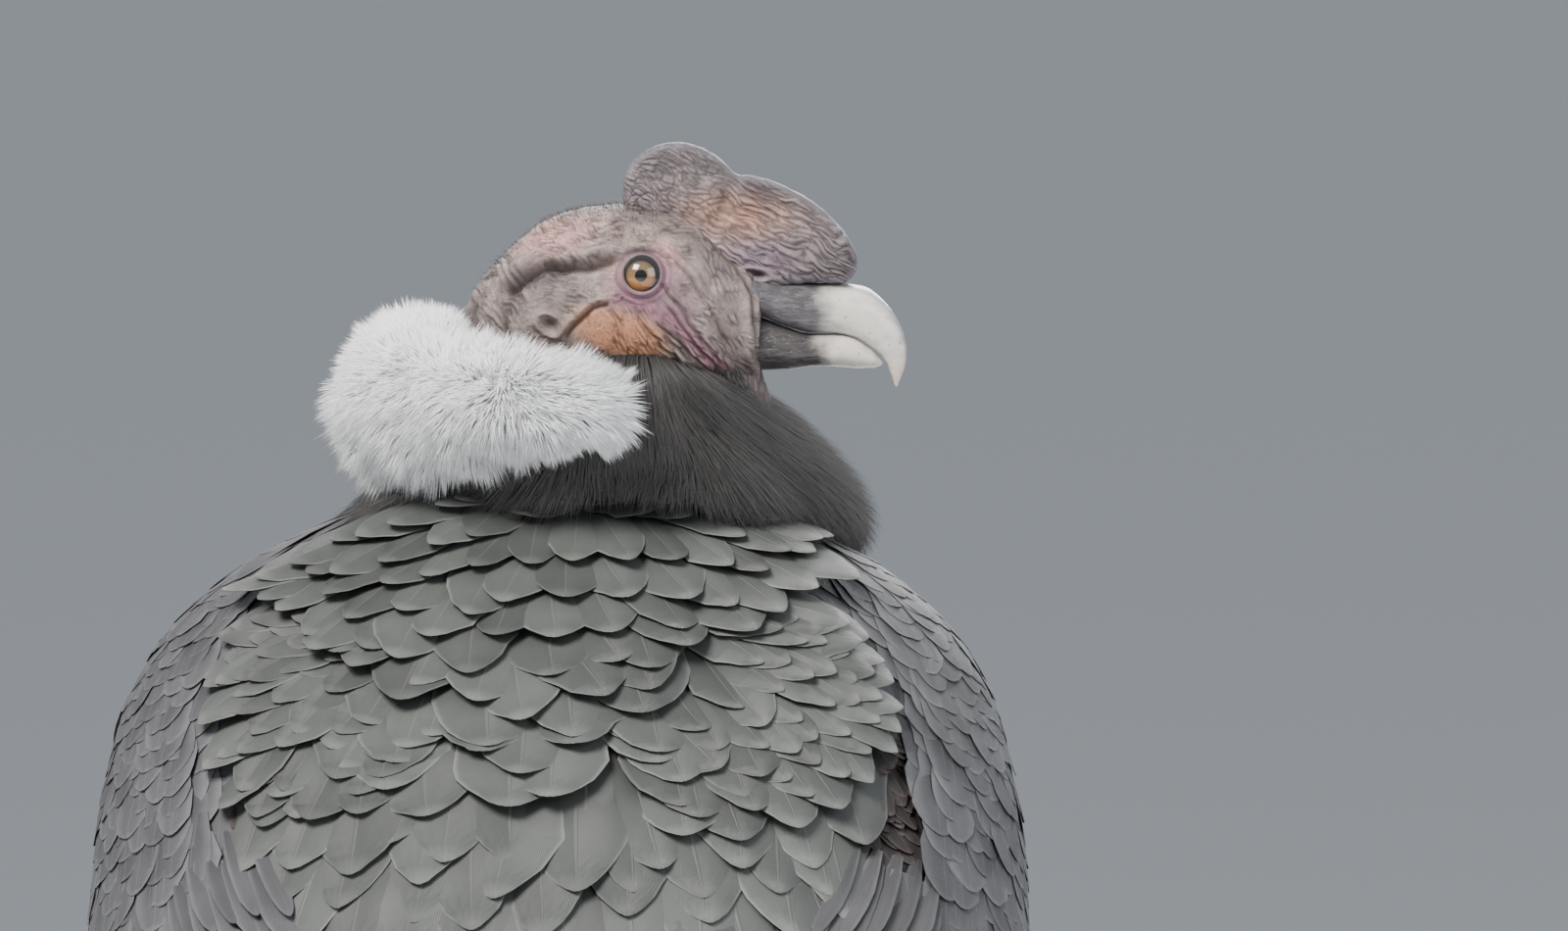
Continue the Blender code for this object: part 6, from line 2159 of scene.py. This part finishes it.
@dataclass
class Comb:
    """The fleshy comb from the crown down on to the bill, deeply wrinkled."""

    outline: tuple[tuple[float, float], ...] = (
        (-5, 22), (-7.5, 30), (-6.5, 38.5), (-2.5, 44.8), (5, 49.8), (14.4, 51.4), (24, 49.2), (31.5, 44.6),
        (37.2, 39.2), (43, 38.6), (52.4, 36), (63.8, 30.4), (73.3, 23.4), (80.8, 15), (85, 6.6), (84.6, 0),
        (79.6, -4.4), (70, -4), (60, -5), (50, -7), (38, -4), (26, 2), (14, 10), (4, 16),
    )
    thin: float = 6.0
    thick: float = 12.3
    nostril: tuple[float, float] = (44.5, -0.6)
    rings: int = 305
    around: int = 316
    fine: int = 2400
    rear_at: int = 100
    front_at: int = 1400

    def curve(self) -> Array:
        """A smooth closed curve through the outline's corners.

        Returns:
            Fine points of x and z.
        """
        corners = np.array(self.outline, float)
        total = len(corners)
        place = np.arange(self.fine) * total / self.fine
        i = place.astype(int)
        t = (place - i)[:, None]
        a, b, c, d = (corners[(i + n) % total] for n in (-1, 0, 1, 2))
        bent = (2 * a - 5 * b + 4 * c - d) * t ** 2 + (3 * b - a - 3 * c + d) * t ** 3
        return b + ((c - a) * t + bent) / 2

    def edges(self) -> list[Array]:
        """The edges from the rear end to the front end, at matching stations.

        Returns:
            The upper edge and the lower edge.
        """
        curve = self.curve()
        lower = np.concatenate((curve[self.rear_at::-1], curve[:self.front_at - 1:-1]))
        t = np.linspace(0.006, 0.994, self.rings)
        share = 0.45 * t + 0.55 * (1 - np.cos(math.pi * t)) / 2
        found = []
        for line in (curve[self.rear_at:self.front_at + 1], lower):
            run = np.concatenate(([0.0], np.cumsum(np.linalg.norm(np.diff(line, axis=0), axis=1))))
            found.append(np.stack([np.interp(share * run[-1], run, part) for part in line.T], -1))
        return found

    def relief(self, x: Array, y: Array, z: Array) -> tuple[Array, Array]:
        """How far the comb's skin is raised, and how much shade is painted in its creases.

        Args:
            x: Millimetres ahead of the eyes.
            y: Millimetres left of the middle.
            z: Millimetres above the eyes.

        Returns:
            The height in millimetres, and the painted shade of the creases from 0 upwards.
        """
        place = xyz(x, y, z)
        rear = smooth(40.0, 24.0, x - (z - 30) * 0.3) * smooth(22.0, 32.0, z + x * 0.25)
        bend = noise(place / (11, 14, 11), 81) * 3.4 + noise(place / (4, 9, 4), 87)
        run = x * 0.89 - z * 0.45 + 3.0 * noise(place / (6, 12, 6), 88)
        cut = x * 0.45 + z * 0.89 + bend
        long = creases(xyz(run / 11.5, y / 14, cut / 2.3), 82)
        net = creases(xyz((run + bend) / 4.6, y / 14, cut / 2.0), 83)
        small = creases(xyz((run + bend) / 2.2, y / 9, cut / 1.1), 84)
        broad = noise(xyz(run / 15, y / 20, cut / 5.0), 85)
        some = 0.5 + 0.5 * noise(place / (5, 9, 5), 86)
        long = 1 - (1 - long) * smooth(-0.25, 0.40, some)
        net = 1 - (1 - net) * smooth(1.15, 0.50, some)
        small = 1 - (1 - small) * smooth(1.10, 0.45, some)
        lines = long * (1 - rear) + net * rear
        high = (1.35 - 0.55 * rear) * (lines - 0.75) + 0.30 * (small - 0.7) + 0.9 * broad * (1 - 0.6 * rear)
        # The second value is painted shade in the grooves and where the skin sinks.
        return high, (1 - lines) * 0.95 + (1 - small) * 0.35 + np.clip(-broad, 0, 1) * 0.45

    def build(self) -> None:
        """The comb with its folds and the nostrils at its foot."""
        upper, lower = self.edges()
        angle = np.radians(turns(self.around))
        share = (1 - np.cos(angle)) / 2
        x, z = (blend(upper[:, n:n + 1], lower[:, n:n + 1], share) for n in (0, 1))
        thick = blend(self.thin, self.thick, np.clip((22 - z) / 24, 0, 1))
        lobe = bell(x - 33 - (z - 26) * 0.42, 0.0, 3.2) * np.clip((z - 10) / 10, 0, 1)
        middle = (upper + lower) / 2
        ends = np.minimum(*(np.linalg.norm(middle - middle[i], axis=1) for i in (0, -1)))[:, None]
        taper = np.sqrt(1 - (1 - np.clip(ends / 8.0, 0, 1)) ** 2)
        y = np.sign(np.sin(angle)) * np.abs(np.sin(angle)) ** 0.55 * thick * (1 - 0.22 * lobe) * taper
        points = head_place(x, y, z)
        chord = np.linalg.norm(upper - lower, axis=1)[:, None]
        inside = smooth(0.4, 4.5, np.minimum(np.minimum(share, 1 - share) * chord, ends + 2.0))
        high, crease = self.relief(x, y, z)
        over, up = x - self.nostril[0], z - self.nostril[1]
        hole = np.hypot(over / 4.6, (up + over * 0.12) / 1.7)
        fade = smooth(0.5, 1.0, hole / 2.4)
        pit = np.exp(-hole ** 3)
        high = high * fade * (0.30 + 0.70 * inside) - 3.2 * pit + 0.7 * bell(hole, 1.5, 0.35)
        high -= 0.8 * lobe * inside
        # Painted shade in the creases and in the nostrils' pits.
        crease = np.maximum(crease * fade * (0.35 + 0.65 * inside), 1.2 * pit)
        piece = Piece("comb_bare").skin(
            points + grid_normals(points) * (high * MM)[..., None], crease=np.clip(crease, 0, 1),
            orange=bell(x, 36, 24) * bell(z, 22, 11) * inside * 0.95,
            pink=bell(x, 24, 12) * bell(z, 12, 8) * 0.8, purple=bell(x, 46, 18) * bell(z, 6, 8) * 0.7,
            dark=(1 - inside) * 0.75,
        )
        piece.make(COMB_SKIN, ["comb"])


@dataclass(frozen=True)
class BillHalf:
    """One half of the hooked bill, in millimetres from the eyes.

    Its ribs have x and z at the ridge, x and z at the cutting edge, and half width.
    """

    name: str
    node: str
    finish: Finish
    mouth_above: bool
    ridge: float
    hook: float
    tip: tuple[float, float]
    ribs: tuple[tuple[float, float, float, float, float], ...]
    stations: int = 130
    around: int = 96

    def build(self) -> None:
        """The half, with the ridge and the hook kept as numbers."""
        track = Track([(i, *row) for i, row in enumerate(self.ribs)])
        t = np.linspace(0, len(self.ribs) - 1, self.stations)[:, None]
        top_x, top_z, low_x, low_z, wide = columns(track(t))
        angle = (np.arange(self.around) + 0.5) * FULL_TURN / self.around
        down = (1 - np.cos(angle)) / 2
        out = np.sin(angle)
        bulge = np.sign(out) * np.abs(out) ** (1.0 - 0.55 * (1 - down if self.mouth_above else down))
        points = head_place(blend(top_x, low_x, down), wide * bulge, blend(top_z, low_z, down))
        growth = noise(xyz(t * 2.4, out * 1.5, down * 2), 91)
        points = points + grid_normals(points) * (growth * 0.00012)[..., None]
        ridge = smooth(0.16, 0.02, down) * smooth(3.6, 5.2, t)
        hook = smooth(len(self.ribs) - 4.0, len(self.ribs) - 1.5, t)
        end = head_place(self.tip[0], 0, self.tip[1])
        piece = Piece(self.name).skin(points, None, end, ridge=ridge * self.ridge, hook=hook * self.hook)
        piece.make(self.finish, [self.node])


BILL_UPPER = BillHalf(
    "bill_over", "bill_upper", BILL_HORN, False, 1.0, 1.0, (100.6, -46.0), (
        (38, 0, 38, -15, 13.0), (47, -1.5, 47, -17.3, 13.4), (57, -3.6, 57, -21.3, 12.8),
        (67, -4.2, 67, -23.8, 12.0), (77, -4.4, 76, -23.9, 11.2), (86.5, -5.2, 83, -25.0, 10.3),
        (94, -9.6, 88, -27.6, 9.0),
        (99.8, -16.4, 92, -30.4, 7.4), (103.5, -24.2, 95, -33.2, 5.6), (104.8, -31.4, 97, -36.4, 3.9),
        (103.8, -38.0, 98.6, -40.6, 2.3), (101.4, -44.0, 100.0, -44.6, 0.8),
    ),
)
BILL_LOWER = BillHalf(
    "bill_under", "bill_lower", BILL_HORN_LOW, True, 0.0, 0.5, (94.6, -35.0), (
        (38, -15.4, 38, -38, 12.4), (47, -17.7, 47, -38.8, 12.8), (57, -21.7, 58, -38.4, 12.0),
        (67, -24.2, 68, -37.4, 11.0), (76, -24.3, 77, -37.3, 10.0), (83, -25.5, 85, -37.9, 8.8),
        (87.6, -28.2, 90.5, -37.8, 7.2), (91.4, -31.2, 94.2, -37.0, 4.8), (93.6, -33.6, 95.4, -36.0, 2.4),
    ),
)


@dataclass
class EyeBall:
    """One eye, set in the lids of the head's skin."""

    side: Side
    out: float = 26.0
    radius: float = 8.6

    def build(self) -> None:
        """The ball, whose finish draws iris and pupil."""
        polar = np.linspace(0.02, math.pi - 0.02, 60)[:, None]
        turn = np.radians(turns(80))
        centre = head_place(0.0, -self.out * self.side.value, 0.0)
        ball = xyz(np.sin(polar) * np.cos(turn), -np.cos(polar), np.sin(polar) * np.sin(turn))
        piece = Piece(f"eyeball_{self.side.word}").skin(centre + ball * self.radius * MM)
        piece.make(EYE_WET, [f"eye_{self.side.word}"])


@dataclass
class Frill:
    """The plush dark feathers round the foot of the neck."""

    vane_rows: tuple[float, ...] = (0.786, 0.797, 0.808, 0.819, 0.830, 0.841, 0.852, 0.863, 0.873)
    vane_gap: float = 0.0150
    vane_length: float = 0.030
    vane_width: float = 0.0225
    top: float = 0.894
    bed: float = 0.012
    hairs: int = 15500
    pieces: int = 2
    throat_hairs: int = 4200
    seed: int = 71
    surface = FrillSurface()

    def front(self, v: Array) -> Array:
        """How much lower the frill hangs over the breast, by turn."""
        return 0.018 * np.maximum(np.sin(np.radians(v)), 0.0)

    def back(self, v: Array) -> Array:
        """How far each turn faces the bird's back, from 0 to 1."""
        return np.maximum(-np.sin(np.radians(v)), 0.0)

    def hem(self, v: Array) -> Array:
        """How low the frill reaches, higher at the back where the cape lies over it."""
        return 0.782 + 0.056 * self.back(v) ** 1.2

    def build_core(self) -> None:
        """The bed under the feathers."""
        z = np.linspace(0.775, self.top, 60)[:, None]
        turn = turns(96)
        angle = np.radians(turn)
        x, y, wide, deep = columns(self.surface.track(z))
        wide, deep = np.maximum(wide - self.bed, self.bed), np.maximum(deep - self.bed, self.bed)
        deep = deep - 0.014 * smooth(0.866, 0.846, z) * self.back(turn)
        points = xyz(x + wide * np.cos(angle), y + deep * np.sin(angle), z)
        Piece("frill_bed").skin(points).make(UNDER_NECK, ["neck_frill"])

    def build_feathers(self) -> None:
        """Soft vanes in rows that hang over one another."""
        rng = np.random.default_rng(self.seed)
        found = []
        for number, z in enumerate(self.vane_rows):
            count = int(float(self.surface.track(z)[2]) * FULL_TURN / self.vane_gap)
            v = (np.arange(count) + 0.5 * (number % 2)) * 360 / count + rng.normal(0, 2.0, count)
            tip = z - self.front(v) + rng.normal(0, 0.002, count)
            found.append((tip, v, v + rng.normal(0, 2.5, count)))
        u1, v0, v1 = np.concatenate(found, axis=1)
        shown = u1 > self.hem(v1) + 0.003 - self.front(v1)
        u1, v0, v1 = u1[shown], v0[shown], v1[shown]
        count = len(u1)
        lay = Layout(
            np.minimum(u1 + self.vane_length, self.top), v0, u1, v1,
            self.vane_width * rng.uniform(0.85, 1.1, count), -self.bed,
            -0.0050 + rng.normal(0, 0.0010, count), rng.normal(0, 0.08, count),
        )
        Piece("frill_feathers").vanes(self.surface, lay, VaneForm(), rng).make(FRILL_FEATHER)

    def build_hairs(self) -> None:
        """Loose barbs over the vanes, which stream outwards and down and give the plush look."""
        for number in range(1, self.pieces + 1):
            rng = np.random.default_rng(self.seed + number)
            v = rng.random(self.hairs) * 360
            low = self.hem(v) + 0.006 * self.back(v)
            z = blend(low, 0.890, rng.random(self.hairs) ** 1.1) - self.front(v) * 0.9
            clump = noise(xyz(v / 7, z * 70, 0.0), 5)
            plume = noise(xyz(v / 17, z * 40, 0.0), 6)
            sweep = 6.5 * noise(xyz(v / 22, z * 28, 0.0), 9)
            length = 0.0140 + 0.0050 * plume + rng.uniform(-0.002, 0.002, self.hairs)
            root = self.surface.points(z + 0.011, v, -0.0065)
            bend = self.surface.points(z + 0.004, v + sweep * 0.4, 0.0012 + 0.0016 * clump)
            ahead = np.clip(np.cos(np.radians(v)), 0, 1)
            fly = 0.0022 + 0.0040 * rng.random(self.hairs) * (1 + ahead) + 0.0036 * np.clip(plume, 0, 1)
            fly = fly + 0.020 * bell(v, 208, 22) * smooth(0.865, 0.835, z)
            tip = self.surface.points(z - length + 0.003, v + sweep + rng.normal(0, 1.4, self.hairs), fly)
            shade = np.clip(0.5 - 1.1 * plume - 0.7 * clump, 0, 1.6)
            thick = rng.uniform(0.00016, 0.00030, self.hairs)
            piece = Piece(f"frill_barbs_{number}")
            piece.spikes(root, bend, tip, thick, self.surface.unwrap(z, v), rng, shade).make(FRILL_HAIR)

    def build_throat_hairs(self) -> None:
        """Short dark hair that climbs from the frill over the throat to the cheek."""
        rng = np.random.default_rng(self.seed + 9)
        depth = 30 + 42 * rng.random(self.throat_hairs) ** 0.8
        turn = rng.random(self.throat_hairs) * 360
        stations, *sizes = np.array(THROAT).T
        middle, long, wide = (np.interp(depth, stations, size) for size in sizes)
        x, y = middle + long * np.cos(np.radians(turn)), wide * np.sin(np.radians(turn))
        hairy = (x <= middle + long * 0.35) | (depth >= 60)
        x, y, depth, turn = (a[hairy] for a in (x, y, depth, turn))
        root = head_place(x, y, -depth)
        out = xyz(np.cos(np.radians(turn)), np.sin(np.radians(turn)), 0.0)
        length = rng.uniform(0.006, 0.011, len(x))[:, None]
        way = unit(out * 0.50 + (0.35, 0.0, -0.9) + rng.normal(0, 0.12, root.shape))
        spot = self.surface.unwrap(0.87 + 0.02 * depth / 72, turn)
        bend, tip, thick = root + out * length * 0.3, root + way * length, np.full(len(x), 0.00028)
        Piece("throat_hair").spikes(root - out * 0.001, bend, tip, thick, spot, rng).make(FRILL_HAIR)


@dataclass
class Ruff:
    """The white ruff of fine down."""

    tufts: int = 15200
    pieces: int = 3
    length: float = 0.0118
    seed: int = 91
    surface = RuffSurface()

    def build_core(self) -> None:
        """The soft mass under the tufts."""
        turn = np.linspace(7 - RUFF_END, RUFF_END - 7, 90)[:, None]
        section = turns(72)
        lumps = noise(xyz(turn / 11, section / 17, 0.0), 7) * 0.05
        Piece("ruff_bed").skin(self.surface.points(section, turn, -0.21 + lumps)).make(UNDER_RUFF, ["ruff"])

    def build_down(self) -> None:
        """Tens of thousands of tufts that stream outwards and down."""
        for number in range(self.pieces):
            rng = np.random.default_rng(self.seed + number)
            turn = (rng.random(self.tufts) * 2 - 1) * (RUFF_END - 2)
            section = rng.uniform(-142, 128, self.tufts)
            off, rise = np.abs(turn), np.sin(np.radians(section))
            clump = noise(xyz(turn / 5.0, section / 8.0, 0.0), 17)
            broad = noise(xyz(turn / 16.0, section / 30.0, 0.0), 18)
            length = self.length * (1 + 0.22 * clump + 0.16 * broad) * rng.uniform(0.75, 1.15, self.tufts)
            hang = np.clip(-np.sin(np.radians(section + 12)), 0, 1)
            ragged = 0.30 * noise(xyz(turn / 7.5, 0.0, 0.0), 19)
            over = np.clip(rise, 0, 1) * bell(turn, 0.0, 34.0)
            length *= 1 - (0.50 * smooth(60, 92, off) + ragged) * hang - 0.30 * over
            root = self.surface.points(section, turn, -0.29)
            out = self.surface.normals(section, turn)
            _, away = self.surface.ring(turn)
            pull = -np.sign(turn) * (off / RUFF_END) ** 1.5 * 0.75
            toward = xyz(-away[:, 1] * pull, away[:, 0] * pull, 0.0)
            down = xyz(0.0, 0.0, 0.35 * rise - 0.55)
            clumped = np.stack([noise(root * 190, seed) for seed in (21, 22, 23)], -1) * 0.42
            facing = np.clip(-out[:, 1:2], 0, 1) ** 1.5
            stream = xyz(-0.75 * smooth(0, -60, turn) + 0.9 * smooth(-52, -88, turn), 0.0, 0.0)
            way = out * (0.80 - 0.62 * facing) + down + toward + clumped * 0.8 + stream * facing
            way = unit(way + rng.normal(0, 0.10, root.shape))
            first = unit(out + (toward * 0.6 + down * 0.8 + stream) * facing + clumped * 0.4)
            bend = root + first * (length * 0.60)[:, None]
            tip = bend + way * (length * 0.62)[:, None]
            thick = rng.uniform(0.00024, 0.00044, self.tufts)
            piece = Piece(f"ruff_down_{number + 1}")
            piece.spikes(root, bend, tip, thick, self.surface.unwrap(section, turn), rng).make(RUFF_DOWN)


@dataclass
class Bristles:
    """Short dark bristles on crown and nape."""

    count: int = 2200
    thick: float = 0.00009
    seed: int = 101
    surface = SkullSurface()

    def build(self) -> None:
        """The bristles, leaning back."""
        rng = np.random.default_rng(self.seed)
        x = -66 + 72 * rng.random(self.count) ** 0.8
        v = (rng.random(self.count) * 2 - 1) * np.where(x < -40, 120, 62)
        root = self.surface.points(x, v, -0.0002)
        out = self.surface.normals(x, v)
        length = rng.uniform(0.0018, 0.0042, self.count)[:, None]
        way = unit(out + (-0.48, 0.0, -0.12) + rng.normal(0, 0.25, root.shape))
        Piece("head_bristles").spikes(
            root, root + out * length * 0.5, root + way * length, np.full(self.count, self.thick),
            self.surface.unwrap(x, v), rng,
        ).make(BRISTLE)


@dataclass
class Studio:
    """A pale floor, soft light and the camera of the photo's view.

    Each light has a name, a place, a size, its power and its colour.
    """

    target: tuple[float, float, float] = (0.0882, 0.05, 0.8586)
    distance: float = 6.0
    elevation: float = 3.0
    lens: float = 355.26
    sensor: float = 36.0
    floor_half: float = 60.0
    lit: tuple[float, float, float] = (0.0, 0.05, 0.6)
    floor_tint: Colour = (0.62, 0.64, 0.66)
    sky_tint: Colour = (0.82, 0.87, 0.93)
    sky_strength: float = 0.50
    lights: tuple[tuple[str, tuple[float, float, float], float, float, Colour], ...] = (
        ("key_light", (-1.5, -2.0, 3.4), 1.7, 290.0, (1.0, 0.985, 0.96)),
        ("fill_light", (2.8, -1.6, 1.7), 2.4, 70.0, (0.93, 0.96, 1.0)),
        ("rim_light", (0.6, 2.8, 2.6), 2.0, 150.0, (1.0, 1.0, 1.0)),
    )

    def put(self, data: bpy.types.ID, place: Vector, view: Vector) -> bpy.types.Object:
        """Puts a light or camera into the scene.

        Args:
            data: The light or camera.
            place: Where it stands.
            view: The way that it faces.

        Returns:
            Its object.
        """
        made = bpy.data.objects.new(data.name, data)
        made.location = place
        made.rotation_mode = "QUATERNION"
        made.rotation_quaternion = view.to_track_quat("-Z", "Y")
        bpy.context.scene.collection.objects.link(made)
        return made

    def light(self, name: str, place: tuple[float, float, float], size: float, power: float,
              colour: Colour) -> None:
        """Adds a square soft light that faces the bird.

        Args:
            name: Its name.
            place: Where it stands.
            size: The length of its sides.
            power: Its power in watts.
            colour: Its colour.
        """
        data = bpy.data.lights.new(name, "AREA")
        data.shape = "SQUARE"
        data.size = size
        data.energy = power
        data.color = colour
        self.put(data, Vector(place), Vector(self.lit) - Vector(place))

    def build(self) -> None:
        """Floor, lights, world and camera."""
        h = self.floor_half
        mesh = bpy.data.meshes.new("studio_floor")
        mesh.from_pydata([(-h, -h, 0), (h, -h, 0), (h, h, 0), (-h, h, 0)], [], [(0, 1, 2, 3)])
        mesh.materials.append(Graph("studio_floor").finish(self.floor_tint, Roughness=0.9))
        floor = bpy.data.objects.new("studio_floor", mesh)
        bpy.context.scene.collection.objects.link(floor)
        for light in self.lights:
            self.light(*light)
        world = bpy.context.scene.world or bpy.data.worlds.new("studio_world")
        bpy.context.scene.world = world
        world.use_nodes = True
        back = world.node_tree.nodes["Background"]
        back.inputs["Color"].default_value = (*self.sky_tint, 1.0)
        back.inputs["Strength"].default_value = self.sky_strength
        data = bpy.data.cameras.new("photo_camera")
        data.lens = self.lens
        data.sensor_width = self.sensor
        data.clip_end = 200.0
        tilt = math.radians(self.elevation)
        away = Vector((0.0, -math.cos(tilt), math.sin(tilt)))
        bpy.context.scene.camera = self.put(data, Vector(self.target) + away * self.distance, -away)


def main() -> None:
    """Builds every piece in order and reports each."""
    logging.basicConfig(level=logging.INFO, format="%(name)s: %(message)s")
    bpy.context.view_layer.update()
    trunk = Trunk()
    trunk.build_skin()
    trunk.build_feathers()
    for side in Side:
        wing = FoldedWing(side)
        wing.build_arm()
        wing.build_gap_shade()
        wing.build_coverts()
        wing.build_corner()
        wing.build_flight()
        leg = Leg(side)
        leg.build_thigh()
        leg.build_shank()
        leg.build_foot()
        EyeBall(side).build()
    cape = Cape()
    cape.build_skin()
    cape.build_feathers()
    Tail().build()
    HeadSkin().build()
    Comb().build()
    BILL_UPPER.build()
    BILL_LOWER.build()
    frill = Frill()
    frill.build_core()
    frill.build_feathers()
    frill.build_hairs()
    frill.build_throat_hairs()
    ruff = Ruff()
    ruff.build_core()
    ruff.build_down()
    Bristles().build()
    Studio().build()


if __name__ == "__main__":
    main()
